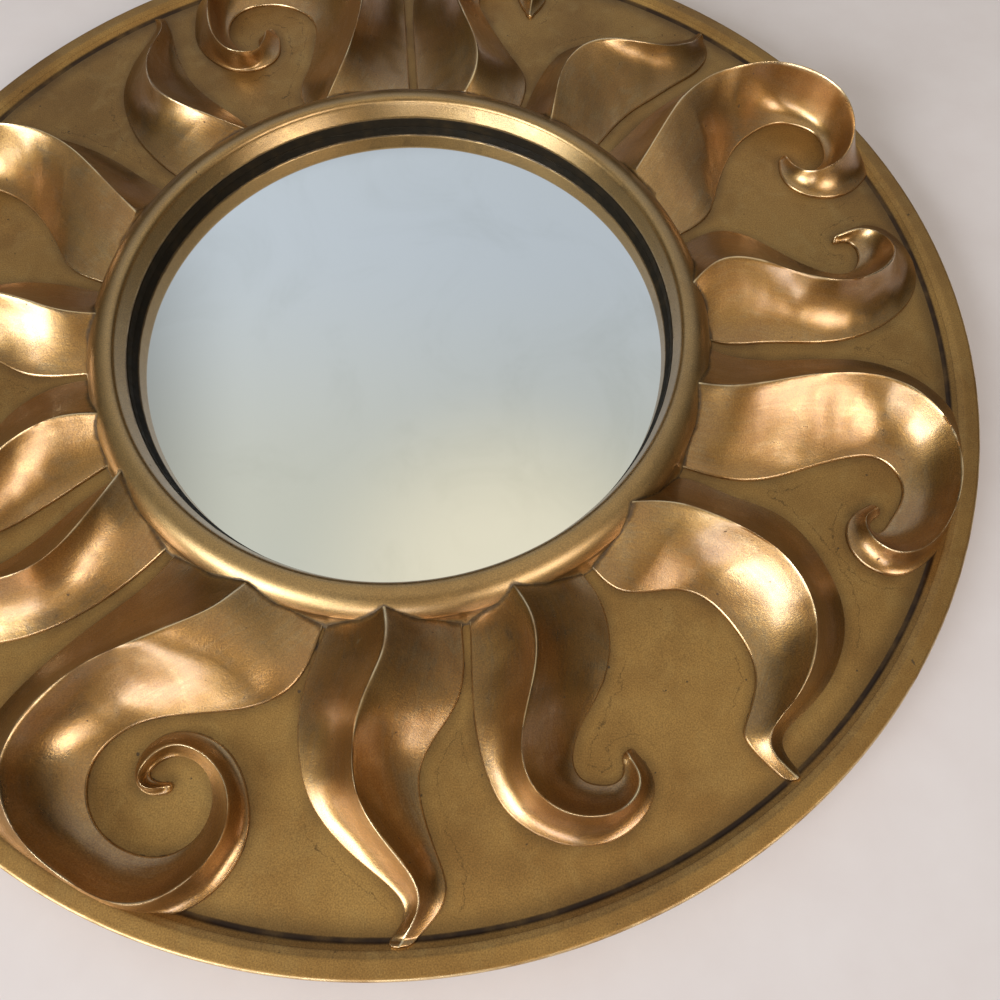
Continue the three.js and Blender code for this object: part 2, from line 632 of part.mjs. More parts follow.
const screwGeometry = (headTopZ) => {
  const tipZ = BACK_Z + SCREW_LENGTH;
  const headBottomZ = headTopZ - SCREW_HEAD_HEIGHT;
  const outline = [
    [0, headBottomZ],
    [SCREW_HEAD_CROWN_RADIUS, headBottomZ],
    [SCREW_HEAD_RADIUS, headTopZ - SCREW_HEAD_RIM_HEIGHT],
    [SCREW_HEAD_RADIUS, headTopZ],
    [SCREW_SHAFT_RADIUS, headTopZ],
    [SCREW_SHAFT_RADIUS, tipZ - SCREW_SHAFT_RADIUS],
    [0, tipZ],
  ];
  const points = outline.map(([r, z]) => new THREE.Vector2(r, z));
  return new THREE.LatheGeometry(points, SMALL_SEGMENTS).rotateX(Math.PI / 2);
};

const placed = (mesh, x, y, z = 0) => {
  mesh.position.set(x, y, z);
  return mesh;
};

const BUTTON_TOP_Z = BACK_Z - MOVING_GAP;
const BUTTON_BOTTOM_Z = BUTTON_TOP_Z - BUTTON_THICKNESS;

// A turn button lies along +X from its screw, so each one is turned to point at the mirror's centre.
const buttonGeometry = () => {
  const half = BUTTON_WIDTH / 2;
  const shape = new THREE.Shape();
  shape.absarc(BUTTON_LENGTH - BUTTON_SCREW_INSET - half, 0, half, -Math.PI / 2, Math.PI / 2, false);
  shape.absarc(half - BUTTON_SCREW_INSET, 0, half, Math.PI / 2, (3 * Math.PI) / 2, false);
  shape.closePath();
  const hole = new THREE.Path();
  hole.absarc(0, 0, SCREW_HOLE_RADIUS, 0, Math.PI * 2, true);
  shape.holes.push(hole);
  const through = { depth: BUTTON_THICKNESS, bevelEnabled: false, curveSegments: BUTTON_END_SEGMENTS };
  return new THREE.ExtrudeGeometry(shape, through).translate(0, 0, BUTTON_BOTTOM_Z);
};

const turnButtons = () => buttonScrewPlaces.flatMap(([x, y], i) => {
  const number = String(i + 1).padStart(2, '0');
  const button = placed(named(`turn_button_${number}`, buttonGeometry(), BRASS), x, y);
  button.rotation.z = THREE.MathUtils.degToRad(BUTTON_ANGLES[i] + HALF_TURN);
  const screw = named(`turn_button_screw_${number}`, screwGeometry(BUTTON_BOTTOM_Z - MOVING_GAP), BRASS);
  return [button, placed(screw, x, y)];
});

const bumpers = () => bumperPlaces.flatMap(([x, y], i) => {
  const number = String(i + 1).padStart(2, '0');
  const seatZ = BUMPER_HEIGHT / 2;
  const wellRadius = SCREW_HEAD_RADIUS + SCREW_HOLE_CLEARANCE;
  const outline = [
    [wellRadius, 0],
    [BUMPER_RADIUS - BUMPER_EDGE_ROUND, 0],
    [BUMPER_RADIUS, BUMPER_EDGE_ROUND],
    [BUMPER_RADIUS, BACK_Z],
    [SCREW_HOLE_RADIUS, BACK_Z],
    [SCREW_HOLE_RADIUS, seatZ],
    [wellRadius, seatZ],
  ];
  const bumper = named(`bumper_${number}`, turned(outline, SMALL_SEGMENTS), RUBBER_BLACK);
  const screw = named(`bumper_screw_${number}`, screwGeometry(seatZ), ZINC);
  return [placed(bumper, x, y), placed(screw, x, y)];
});

// ---------------------------------------------------------------- hanging straps and D-rings

const EYE_INNER_RADIUS = RING_WIRE_RADIUS + RING_WIRE_CLEARANCE;
const EYE_OUTER_RADIUS = EYE_INNER_RADIUS + STRAP_THICKNESS;
const EYE_Z = BACK_Z - EYE_OUTER_RADIUS;

// The strap's side view: a flat tail under the plate's back and an eye rolled round the ring's bar.
const strapGeometry = () => {
  const lapAngle = Math.PI - Math.asin((EYE_OUTER_RADIUS - STRAP_THICKNESS) / EYE_OUTER_RADIUS);
  const shape = new THREE.Shape();
  shape.moveTo(-STRAP_LENGTH, EYE_OUTER_RADIUS - STRAP_THICKNESS);
  shape.lineTo(-STRAP_LENGTH, EYE_OUTER_RADIUS);
  shape.absarc(0, 0, EYE_OUTER_RADIUS, Math.PI / 2, lapAngle - 2 * Math.PI, true);
  shape.closePath();
  const eye = new THREE.Path();
  eye.absarc(0, 0, EYE_INNER_RADIUS, 0, Math.PI * 2, false);
  shape.holes.push(eye);
  const across = { depth: STRAP_WIDTH, bevelEnabled: false, curveSegments: EYE_SEGMENTS };
  let strap = toSolid(new THREE.ExtrudeGeometry(shape, across)
    .translate(0, 0, -STRAP_WIDTH / 2)
    .rotateX(Math.PI / 2)
    .rotateZ(Math.PI / 2));
  const hole = toSolid(cylinder(SCREW_HOLE_RADIUS, 0, EYE_OUTER_RADIUS + 1));
  for (const y of STRAP_SCREW_YS) {
    strap = strap.subtract(hole.translate([0, y - STRAP_Y, 0]));
  }
  return toGeometry(strap);
};

// The ring's wire runs along the eye, round two small corners and over a half circle.
const ringGeometry = () => {
  const halfWidth = RING_INNER_WIDTH / 2 + RING_WIRE_RADIUS;
  const corner = RING_CORNER_RADIUS;
  const archY = RING_DEPTH - halfWidth;
  const path = new THREE.Path();
  path.moveTo(0, 0);
  path.lineTo(halfWidth - corner, 0);
  path.absarc(halfWidth - corner, corner, corner, -Math.PI / 2, 0, false);
  path.lineTo(halfWidth, archY);
  path.absarc(0, archY, halfWidth, 0, Math.PI, false);
  path.lineTo(-halfWidth, corner);
  path.absarc(corner - halfWidth, corner, corner, Math.PI, 1.5 * Math.PI, false);
  path.closePath();
  const centres = path.getPoints(RING_CORNER_STEPS)
    .filter((point, i, all) => point.distanceTo(all[(i + 1) % all.length]) > SAME_POINT);
  const rings = centres.map((centre, i) => {
    const before = centres[(i + centres.length - 1) % centres.length];
    const after = centres[(i + 1) % centres.length];
    const along = after.clone().sub(before).normalize();
    const outward = new THREE.Vector3(along.y, -along.x, 0);
    return Array.from({ length: RING_SIDES }, (_, j) => {
      const angle = -((j + 0.5) / RING_SIDES) * Math.PI * 2;
      return new THREE.Vector3(centre.x, centre.y, 0)
        .addScaledVector(outward, RING_WIRE_RADIUS * Math.cos(angle))
        .add(new THREE.Vector3(0, 0, RING_WIRE_RADIUS * Math.sin(angle)));
    });
  });
  return loft(rings, true);
};

const hangers = () => strapSides.flatMap(({ side, x }) => {
  const strap = named(`strap_${side}`, strapGeometry(), ZINC);
  const ring = named(`d_ring_${side}`, ringGeometry(), ZINC);
  const screws = STRAP_SCREW_YS.map((y, i) => {
    const screw = named(`strap_screw_${side}_${i + 1}`, screwGeometry(STRAP_HEAD_Z), ZINC);
    return placed(screw, x, y);
  });
  return [placed(strap, x, STRAP_Y, EYE_Z), placed(ring, x, STRAP_Y, EYE_Z), ...screws];
});

// ---------------------------------------------------------------- assembly

const mirror = new THREE.Group();
mirror.add(framePlate(), bezelRing(), darkSlip(), mirrorGlass(), cushionRing(), backingBoard());
const keepOuts = [bezelKeepOut(), rimKeepOut()];
RAYS.forEach((ray) => mirror.add(sunRay(ray, keepOuts)));
mirror.add(...turnButtons(), ...bumpers(), ...hangers());

export default mirror;
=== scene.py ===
import math

import bpy
import numpy as np
from mathutils import Matrix, Vector, noise
from mathutils.bvhtree import BVHTree


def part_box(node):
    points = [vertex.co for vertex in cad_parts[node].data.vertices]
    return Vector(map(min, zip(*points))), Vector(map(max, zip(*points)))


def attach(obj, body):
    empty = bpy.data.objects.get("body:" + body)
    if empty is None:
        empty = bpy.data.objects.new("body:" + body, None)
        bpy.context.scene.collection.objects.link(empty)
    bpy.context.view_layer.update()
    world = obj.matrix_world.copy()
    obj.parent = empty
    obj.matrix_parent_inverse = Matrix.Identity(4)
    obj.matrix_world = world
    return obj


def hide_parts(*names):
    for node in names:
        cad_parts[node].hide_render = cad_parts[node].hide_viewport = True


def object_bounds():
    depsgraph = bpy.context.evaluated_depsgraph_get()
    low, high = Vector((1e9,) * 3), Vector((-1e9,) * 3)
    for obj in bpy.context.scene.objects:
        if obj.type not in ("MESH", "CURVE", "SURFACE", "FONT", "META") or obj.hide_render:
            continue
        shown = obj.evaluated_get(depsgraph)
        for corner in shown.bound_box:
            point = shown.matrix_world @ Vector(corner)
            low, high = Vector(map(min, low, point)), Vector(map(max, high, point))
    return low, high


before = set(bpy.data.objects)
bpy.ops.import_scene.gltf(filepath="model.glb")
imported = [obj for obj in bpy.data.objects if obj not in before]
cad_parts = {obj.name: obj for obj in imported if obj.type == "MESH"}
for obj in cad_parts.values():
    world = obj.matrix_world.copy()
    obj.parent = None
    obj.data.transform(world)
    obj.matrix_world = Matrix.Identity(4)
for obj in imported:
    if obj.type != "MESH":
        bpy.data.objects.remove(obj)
cad_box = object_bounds()

# The convex mirror lies face up on a pale floor. All drawn sizes are in millimetres in the frame's own
# axes: +Z out of the glass, +Y to the top of the mirror on the wall.

MM = 0.001


def span_mm(node):
    """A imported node's lowest and highest corners, in millimetres."""
    low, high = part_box(node)
    return low / MM, high / MM


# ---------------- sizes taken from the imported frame

plate_low, plate_high = span_mm("frame_plate")
bezel_low, bezel_high = span_mm("bezel_ring")
slip_high = span_mm("dark_slip")[1]
glass_high = span_mm("mirror_glass")[1]
board_low, board_high = span_mm("backing_board")

FRAME_RADIUS = plate_high.x
BACK_Z = plate_low.z
RIM_Z = plate_high.z
FIELD_Z = bezel_low.z
BEZEL_FOOT_RADIUS = bezel_high.x
BEAD_TOP_Z = bezel_high.z
SLIP_OUTER_RADIUS = slip_high.x
SLIP_TOP_Z = slip_high.z
GLASS_RADIUS = glass_high.x
GLASS_TOP_Z = glass_high.z
BOARD_RADIUS = board_high.x
BOARD_TOP_Z = board_high.z
BOARD_BOTTOM_Z = board_low.z

# ---------------- shapes of the moulding

RIM_EDGE_ROUND = 1.8
RIM_TOP_WIDTH = 8.0
RIM_WALL_RUN = 4.5
RIM_INNER_TOP_RADIUS = FRAME_RADIUS - RIM_EDGE_ROUND - RIM_TOP_WIDTH
RIM_FOOT_RADIUS = RIM_INNER_TOP_RADIUS - RIM_WALL_RUN
RIM_ARRIS_ROUND = 2.2
BACK_EDGE_ROUND = 1.6

GLASS_EDGE_CLEARANCE = 1.0
BOARD_CLEARANCE = 0.6
OPENING_RADIUS = GLASS_RADIUS + GLASS_EDGE_CLEARANCE
BOARD_SEAT_RADIUS = BOARD_RADIUS + BOARD_CLEARANCE
CUT_GAP = 0.35
SEAT_GAP = 0.05

BEZEL_WIDTH = 22.8
SIGHT_RADIUS = BEZEL_FOOT_RADIUS - BEZEL_WIDTH
BEAD_INNER_LEAN = 2.2
BEAD_INNER_ROUND = 3.5
BEAD_BACK_ROUND = 14.5
BEAD_BACK_SWEEP = 65.0
SKIRT_HOLLOW = 2.2

STRAP_LENGTH = 34.0
STRAP_THICKNESS = 1.0
RING_WIRE_RADIUS = 1.2
RING_CORNER_RADIUS = 3.0
SCREW_SHAFT_RADIUS = 1.6
SCREW_HOLE_RADIUS = SCREW_SHAFT_RADIUS + CUT_GAP
SCREW_HEAD_HEIGHT = 1.6
SCREW_HEAD_RIM_HEIGHT = 0.6
SCREW_CROWN_RADIUS = 2.4
SCREW_CROWN_RISE = 0.25
RECESS_REACH = 1.9
RECESS_WIDTH = 0.42
RECESS_DEPTH = 0.7
RECESS_SIDE_RUN = 0.14
RECESS_END_RUN = 0.3
BUTTON_LENGTH = 42.0
BUTTON_WIDTH = 12.0
BUTTON_SCREW_INSET = 8.0
BUTTON_EDGE_ROUND = 0.3
BUTTON_COUNT = 4
BUMPER_WELL_RADIUS = 3.75
CUSHION_WIDTH = 6.0

GLASS_CURVE_RADIUS = 1000.0
GLASS_THICKNESS = 3.0

RAY_FOOT_THICKNESS = 1.1
RAY_FOOT_SINK = 0.4
FOOT_EDGE_ROUND = 0.55
FLANK_HOLLOW = 1.15
FOOT_SLOPE = 0.52
STEEP_FLANK_HOLLOW = 3.0
CREST_ROUND = 0.4
ROOT_DROP = 2.9
ROOT_RISE = BEAD_TOP_Z - FIELD_Z - ROOT_DROP
BROAD_WAVE = (24, 0.7)
FINE_WAVE = (9, 0.2)
HEADROOM = 0.02
FLAME_TIP_REACH = 3.0
STUB_TIP_REACH = 3.0

# ---------------- the sun rays' plan

# Each row is one station of a ray, from the root to the tip: left foot x, y, then crest x, y and rise
# above the field, then right foot x, y. Left and right are as seen looking out along the ray.

SOUTH_FLAME = (
    (34, -158, 0, -157, 17, -26, -159),
    (36, -180, 2, -176, 21, -33, -180),
    (32, -200, -5, -198, 25, -37, -203),
    (20, -219, -8, -218, 26, -35, -222),
    (18, -236, -5, -236, 25, -28, -240),
    (26, -259, 9, -256, 20, -6, -262),
    (30, -276, 20, -274, 11, 13, -278),
    (19, -290, 13.5, -290.2, 3, 8, -290.4),
)

SOUTH_VOLUTE = (
    (89, -135, 58, -147, 17, 38, -156),
    (99, -150, 66, -163, 21, 39, -177),
    (103, -172, 67, -184, 24, 40, -197),
    (97, -193, 62, -206, 25, 43, -217),
    (88, -208, 61, -223, 24, 50, -236),
    (84, -222, 67, -235, 21, 61, -248),
    (88, -230, 80, -243, 17, 80, -256),
    (94, -232, 95, -244, 13, 101, -254),
    (100, -232, 107, -239, 9, 116, -242),
    (105, -229, 112, -230, 7, 119, -229),
    (106, -224, 109, -222, 4, 112, -219),
)

SOUTH_EAST_FLAME = (
    (134, -91, 112, -107, 17, 93, -131),
    (146, -89, 131, -109, 21, 108, -146),
    (167, -98, 152, -118, 26, 131, -146),
    (191, -109, 172, -130, 27, 150, -151),
    (208, -133, 187, -150, 26, 165, -171),
    (213, -163, 190, -174, 21, 168, -188),
    (195, -196, 179, -199, 13, 162, -205),
    (177, -212, 169, -214, 6, 161, -215),
    (181, -225, 178, -227, 3, 174, -229),
)

EAST_VOLUTE_LOWER = (
    (161, -11, 152, -42, 17, 140, -81),
    (177, -18, 168, -48, 22, 161, -88),
    (200, -20, 192, -46, 26, 185, -89),
    (226, -19, 216, -43, 27, 213, -81),
    (251, -21, 241, -45, 27, 237, -76),
    (273, -31, 260, -56, 26, 248, -80),
    (289, -53, 271, -75, 24, 253, -89),
    (287, -84, 271, -97, 21, 252, -99),
    (276, -110, 263, -116, 18, 247, -107),
    (259, -131, 250, -129, 15, 243, -112),
    (240, -139, 237, -130, 12, 238, -117),
    (223, -129, 229, -121, 9, 234, -116),
    (222, -112, 229, -111, 7, 234, -112),
    (234, -103, 236, -106, 4, 238, -109),
)

EAST_VOLUTE_UPPER = (
    (153, 53, 154, 17, 17, 161, -5),
    (173, 65, 167, 27, 23, 174, -10),
    (193, 63, 186, 26, 26, 196, -9),
    (214, 49, 207, 18, 26, 219, -9),
    (234, 38, 229, 13, 26, 242, -6),
    (247, 37, 249, 19, 24, 262, 3),
    (254, 43, 263, 32, 20, 279, 18),
    (256, 51, 268, 47, 15, 287, 42),
    (254, 57, 264, 59, 10, 277, 66),
    (250, 59, 256, 63, 7, 262, 71),
    (245, 58, 246, 61, 4, 247, 64),
)

NORTH_EAST_VOLUTE = (
    (112, 117, 130, 97, 17, 150, 60),
    (129, 137, 145, 121, 22, 172, 76),
    (147, 157, 159, 142, 26, 180, 96),
    (168, 174, 177, 156, 29, 190, 121),
    (190, 188, 197, 163, 30, 203, 138),
    (215, 199, 217, 165, 30, 222, 149),
    (244, 176, 239, 157, 29, 240, 145),
    (265, 142, 254, 142, 26, 247, 136),
    (274, 119, 257, 122, 22, 248, 123),
    (266, 101, 250, 106, 17, 243, 114),
    (248, 91, 239, 101, 13, 237, 110),
    (229, 94, 231, 102, 10, 233, 110),
    (220, 106, 226, 109, 7, 230, 112),
    (220, 117, 224, 118, 4, 228, 118),
)

NORTH_FLAME = (
    (64, 149, 82, 134, 17, 107, 123),
    (72, 172, 85, 150, 20, 120, 142),
    (81, 193, 90, 168, 24, 134, 158),
    (95, 210, 103, 183, 26, 149, 170),
    (116, 217, 122, 189, 25, 160, 179),
    (139, 216, 143, 191, 21, 171, 187),
    (160, 217, 160, 197, 15, 181, 197),
    (175, 221, 174, 209, 8, 186, 210),
    (180, 225, 182, 222, 3, 184, 219),
)

NORTH_VOLUTE_RIGHT = (
    (1, 162, 31, 157, 17, 61, 150),
    (0, 180, 37, 167, 20, 67, 168),
    (-2, 203, 38, 184, 24, 68, 186),
    (-4, 228, 32, 203, 26, 58, 207),
    (-5, 252, 25, 224, 26, 47, 230),
    (2, 276, 22, 247, 24, 39, 250),
    (23, 292, 31, 268, 20, 41, 262),
    (49, 294, 49, 279, 16, 50, 269),
    (74, 282, 66, 273, 12, 59, 266),
    (84, 264, 74, 260, 9, 64, 259),
    (80, 250, 73, 249, 6, 66, 251),
    (75, 243, 72, 243, 3, 69, 245),
)

NORTH_VOLUTE_LEFT = (
    (-63, 149, -51, 151, 17, -3, 162),
    (-72, 171, -43, 168, 21, -5, 182),
    (-69, 190, -38, 184, 24, -7, 205),
    (-67, 208, -34, 203, 27, -9, 228),
    (-67, 224, -33, 227, 28, -11, 252),
    (-72, 237, -41, 251, 28, -18, 274),
    (-84, 246, -62, 268, 27, -45, 292),
    (-98, 249, -90, 274, 26, -86, 287),
    (-112, 246, -115, 264, 24, -126, 269),
    (-121, 237, -129, 245, 23, -145, 252),
    (-123, 224, -130, 223, 21, -146, 231),
    (-119, 213, -127, 205, 18, -142, 212),
    (-112, 206, -119, 193, 15, -130, 197),
    (-104, 204, -107, 190, 13, -112, 188),
    (-101, 207, -99, 197, 10, -95, 193),
    (-102, 210, -98, 205, 8, -88, 204),
    (-103, 213, -97, 212, 7, -89, 213),
    (-103, 218, -97, 219, 7, -90, 219),
    (-99, 222, -96, 222, 3, -93, 222),
)

NORTH_WEST_FLAME = (
    (-130, 97, -97, 126, 17, -92, 133),
    (-148, 111, -114, 129, 20, -108, 149),
    (-163, 127, -130, 134, 23, -122, 160),
    (-174, 145, -144, 141, 25, -134, 171),
    (-181, 168, -153, 153, 25, -143, 182),
    (-179, 194, -158, 173, 23, -150, 195),
    (-173, 213, -160, 196, 16, -156, 209),
    (-170, 225, -162, 217, 9, -160, 222),
    (-172, 232, -168, 230, 3, -165, 233),
)

SOUTH_WEST_VOLUTE = (
    (-29, -160, -63, -147, 17, -101, -127),
    (-32, -173, -72, -158, 21, -111, -141),
    (-41, -191, -84, -166, 25, -123, -153),
    (-63, -201, -99, -174, 28, -137, -165),
    (-95, -204, -120, -184, 28, -154, -182),
    (-115, -212, -139, -201, 27, -171, -205),
    (-124, -226, -149, -224, 25, -176, -230),
    (-121, -243, -140, -248, 22, -162, -251),
    (-107, -256, -117, -267, 18, -128, -271),
    (-89, -260, -92, -276, 15, -97, -283),
    (-75, -253, -71, -267, 14, -68, -276),
    (-70, -240, -60, -251, 13, -54, -255),
    (-73, -229, -61, -235, 11, -55, -237),
    (-81, -222, -71, -222, 9, -65, -219),
    (-90, -221, -86, -216, 8, -85, -210),
    (-97, -225, -97, -221, 7, -101, -216),
    (-98, -229, -101, -230, 7, -105, -230),
    (-94, -231, -95, -234, 7, -97, -237),
    (-90, -231, -90, -233, 3, -90, -236),
)

HALF_TURN = 180.0


def turned_rows(rows, middle, new_middle, spread):
    """A ray drawn about one angle, moved to another one. A negative spread mirrors it."""
    def turn(x, y):
        angle = math.degrees(math.atan2(y, x))
        offset = (angle - middle + HALF_TURN) % (2 * HALF_TURN) - HALF_TURN
        new_angle = math.radians(new_middle + offset * spread)
        radius = math.hypot(x, y)
        return radius * math.cos(new_angle), radius * math.sin(new_angle)

    moved = []
    for left_x, left_y, crest_x, crest_y, rise, right_x, right_y in rows:
        feet = [turn(left_x, left_y), turn(right_x, right_y)]
        if spread < 0:
            feet.reverse()
        moved.append((*feet[0], *turn(crest_x, crest_y), rise, *feet[1]))
    return moved


RAYS = (
    ("ray_01_flame", SOUTH_FLAME),
    ("ray_02_volute", SOUTH_VOLUTE),
    ("ray_03_flame", SOUTH_EAST_FLAME),
    ("ray_04_volute", EAST_VOLUTE_LOWER),
    ("ray_05_volute", EAST_VOLUTE_UPPER),
    ("ray_06_volute", NORTH_EAST_VOLUTE),
    ("ray_07_flame", NORTH_FLAME),
    ("ray_08_volute", NORTH_VOLUTE_RIGHT),
    ("ray_09_volute", NORTH_VOLUTE_LEFT),
    ("ray_10_flame", NORTH_WEST_FLAME),
    ("ray_11_volute", turned_rows(NORTH_EAST_VOLUTE, 34, 159.5, -0.96)),
    ("ray_12_flame", turned_rows(SOUTH_FLAME, 271.2, 182, 0.82)),
    ("ray_13_volute", turned_rows(SOUTH_VOLUTE, 293.6, 201, -0.9)),
    ("ray_14_flame", turned_rows(NORTH_WEST_FLAME, 134.2, 221.5, 0.9)),
    ("ray_15_volute", SOUTH_WEST_VOLUTE),
)

# ---------------- curves

RAIL_STEP = 1.1
RAIL_SMOOTHING = 2.6
RAIL_SAMPLES = 1200


def cubic_through(knots, points, samples):
    """Natural cubic spline through points at knots, read at samples."""
    gaps = np.diff(knots)
    slopes = np.diff(points, axis=0) / gaps[:, None]
    count = len(knots)
    matrix = np.eye(count)
    bend = np.zeros_like(points)
    for i in range(1, count - 1):
        matrix[i, i - 1:i + 2] = gaps[i - 1], 2 * (gaps[i - 1] + gaps[i]), gaps[i]
        bend[i] = 6 * (slopes[i] - slopes[i - 1])
    bend = np.linalg.solve(matrix, bend)
    span = np.clip(np.searchsorted(knots, samples, side="right") - 1, 0, count - 2)
    gap = gaps[span][:, None]
    after = (samples - knots[span])[:, None]
    before = gap - after
    curve = (bend[span] * before ** 3 + bend[span + 1] * after ** 3) / (6 * gap)
    curve += (points[span] / gap - bend[span] * gap / 6) * before
    curve += (points[span + 1] / gap - bend[span + 1] * gap / 6) * after
    return curve


def softened(values, steps):
    """Values along a rail with the wobble of the drawn points taken out; both ends stay."""
    reach = int(3 * steps)
    offsets = np.arange(-reach, reach + 1)
    weights = np.exp(-0.5 * (offsets / steps) ** 2)
    weights /= weights.sum()
    start = 2 * values[0] - values[reach:0:-1]
    end = 2 * values[-1] - values[-2:-reach - 2:-1]
    padded = np.vstack([start, values, end])
    return np.stack([np.convolve(column, weights, mode="valid") for column in padded.T], axis=1)


def rails_of(rows):
    """Left foot, crest and right foot of a ray as three smooth rails with even steps."""
    rows = np.array(rows, float)
    rows[0, 4] = ROOT_RISE
    steps = np.zeros(len(rows) - 1)
    for columns in ((0, 1), (2, 3), (5, 6)):
        steps += np.linalg.norm(np.diff(rows[:, columns], axis=0), axis=1) / 3
    knots = np.concatenate([[0], np.cumsum(np.sqrt(steps))])
    fine = np.linspace(0, knots[-1], RAIL_SAMPLES)
    curve = cubic_through(knots, rows, fine)
    run = np.concatenate([[0], np.cumsum(np.linalg.norm(np.diff(curve[:, 2:4], axis=0), axis=1))])
    count = int(run[-1] / RAIL_STEP)
    even = np.linspace(0, run[-1], count)
    curve = np.stack([np.interp(even, run, column) for column in curve.T], axis=1)
    curve = softened(curve, RAIL_SMOOTHING / RAIL_STEP)
    return curve[:, 0:2], curve[:, 2:5], curve[:, 5:7]


# ---------------- meshes

def add_mesh(name, vertices, faces, masks=None, sharp_angle=None):
    """A smooth-shaded mesh object from points in millimetres, with its masks as point attributes."""
    mesh = bpy.data.meshes.new(name)
    mesh.from_pydata((np.asarray(vertices) * MM).tolist(), [], faces)
    mesh.shade_smooth()
    if sharp_angle is not None:
        mesh.set_sharp_from_angle(angle=math.radians(sharp_angle))
    mesh.update()
    piece = bpy.data.objects.new(name, mesh)
    bpy.context.scene.collection.objects.link(piece)
    set_masks(piece, masks or {})
    return piece


def set_masks(piece, masks):
    """Numbers per point, such as the distance to a crease, for the materials to read."""
    for label, values in masks.items():
        layer = piece.data.attributes.new(label, "FLOAT", "POINT")
        layer.data.foreach_set("value", np.asarray(values, np.float32))


def ring_faces(ring_count, point_count, closed_rings=True, closed_points=True):
    """Quads between rings of points; the first edge of each runs along the rings."""
    faces = []
    for i in range(ring_count if closed_rings else ring_count - 1):
        here = i * point_count
        after = ((i + 1) % ring_count) * point_count
        for j in range(point_count if closed_points else point_count - 1):
            k = (j + 1) % point_count
            faces.append((here + j, after + j, after + k, here + k))
    return faces


def end_caps(ring_count, point_count):
    """The first and last ring of an open run of rings, closed and facing outward."""
    last = (ring_count - 1) * point_count
    return [tuple(range(point_count))[::-1], tuple(range(last, last + point_count))]


def turned_points(outline, segments):
    """An outline of (radius, height) points turned about Z, one ring of points per angle."""
    outline = np.asarray(outline, float)
    angles = np.arange(segments) * 2 * math.pi / segments
    points = np.empty((segments, len(outline), 3))
    points[:, :, 0] = np.cos(angles)[:, None] * outline[:, 0]
    points[:, :, 1] = np.sin(angles)[:, None] * outline[:, 0]
    points[:, :, 2] = outline[:, 1]
    return points.reshape(-1, 3)


def arc(centre_r, centre_z, radius, start, end, steps):
    """Points of a round stretch of an outline, from one angle to another in degrees."""
    angles = np.radians(np.linspace(start, end, steps + 1))
    return [(centre_r + radius * math.cos(a), centre_z + radius * math.sin(a)) for a in angles]


def stretch(start, end, step):
    """Evenly spaced points from start up to but not including end."""
    start, end = np.array(start, float), np.array(end, float)
    count = max(1, int(round(np.linalg.norm(end - start) / step)))
    return [tuple(start + (end - start) * i / count) for i in range(count)]


def lumps(points, size, height, seed):
    """Low hand-finished unevenness, in millimetres, at each point."""
    shift = Vector((seed * 7.3, seed * 3.1, seed * 5.7))
    return np.array([noise.noise(Vector(p) / size + shift) for p in points]) * height


# ---------------- shader helpers

def srgb(red, green, blue):
    """A colour as it looks on a screen, 0 to 255, as shader values."""
    def linear(channel):
        channel /= 255
        return channel / 12.92 if channel <= 0.04045 else ((channel + 0.055) / 1.055) ** 2.4
    return linear(red), linear(green), linear(blue), 1.0


class Nodes:
    """A short hand for one node tree: add nodes and join their sockets."""

    def __init__(self, tree):
        self.tree = tree

    def add(self, kind, **settings):
        inputs = settings.pop("inputs", {})
        node = self.tree.nodes.new(kind)
        for name, value in settings.items():
            setattr(node, name, value)
        for socket, value in inputs.items():
            self.feed(node.inputs[socket], value)
        return node

    def feed(self, socket, value):
        if isinstance(value, bpy.types.NodeSocket):
            self.tree.links.new(value, socket)
        else:
            socket.default_value = value

    def math(self, operation, first, second=0.0, clamp=False):
        node = self.add("ShaderNodeMath", operation=operation, use_clamp=clamp)
        self.feed(node.inputs[0], first)
        self.feed(node.inputs[1], second)
        return node.outputs[0]

    def times(self, first, second, clamp=False):
        return self.math("MULTIPLY", first, second, clamp)

    def plus(self, first, second, clamp=False):
        return self.math("ADD", first, second, clamp)

    def less(self, first, second, clamp=False):
        return self.math("SUBTRACT", first, second, clamp)

    def most(self, first, second):
        return self.math("MAXIMUM", first, second)

    def place(self):
        return self.add("ShaderNodeTexCoord").outputs["Object"]

    def relief(self, shader, strength, height):
        """A height in millimetres seen as a bump."""
        bump = self.add("ShaderNodeBump", inputs={"Strength": strength, "Distance": MM, "Height": height})
        self.feed(shader.inputs["Normal"], bump.outputs["Normal"])

    def ramp(self, value, low, high, to_low=0.0, to_high=1.0, smooth=True):
        kind = "SMOOTHSTEP" if smooth else "LINEAR"
        node = self.add("ShaderNodeMapRange", interpolation_type=kind)
        for socket, amount in zip(range(5), (value, low, high, to_low, to_high)):
            self.feed(node.inputs[socket], amount)
        return node.outputs[0]

    def noise(self, coordinates, scale, detail=3.0, roughness=0.55, distortion=0.0):
        node = self.add("ShaderNodeTexNoise", inputs={
            "Vector": coordinates, "Scale": scale, "Detail": detail,
            "Roughness": roughness, "Distortion": distortion})
        return node.outputs["Fac"]

    def grey(self, value):
        node = self.add("ShaderNodeCombineColor", inputs={"Red": value, "Green": value, "Blue": value})
        return node.outputs[0]

    def mix(self, factor, first, second, blend="MIX"):
        node = self.add("ShaderNodeMix", data_type="RGBA", blend_type=blend)
        self.feed(node.inputs[0], factor)
        self.feed(node.inputs[6], first)
        self.feed(node.inputs[7], second)
        return node.outputs[2]


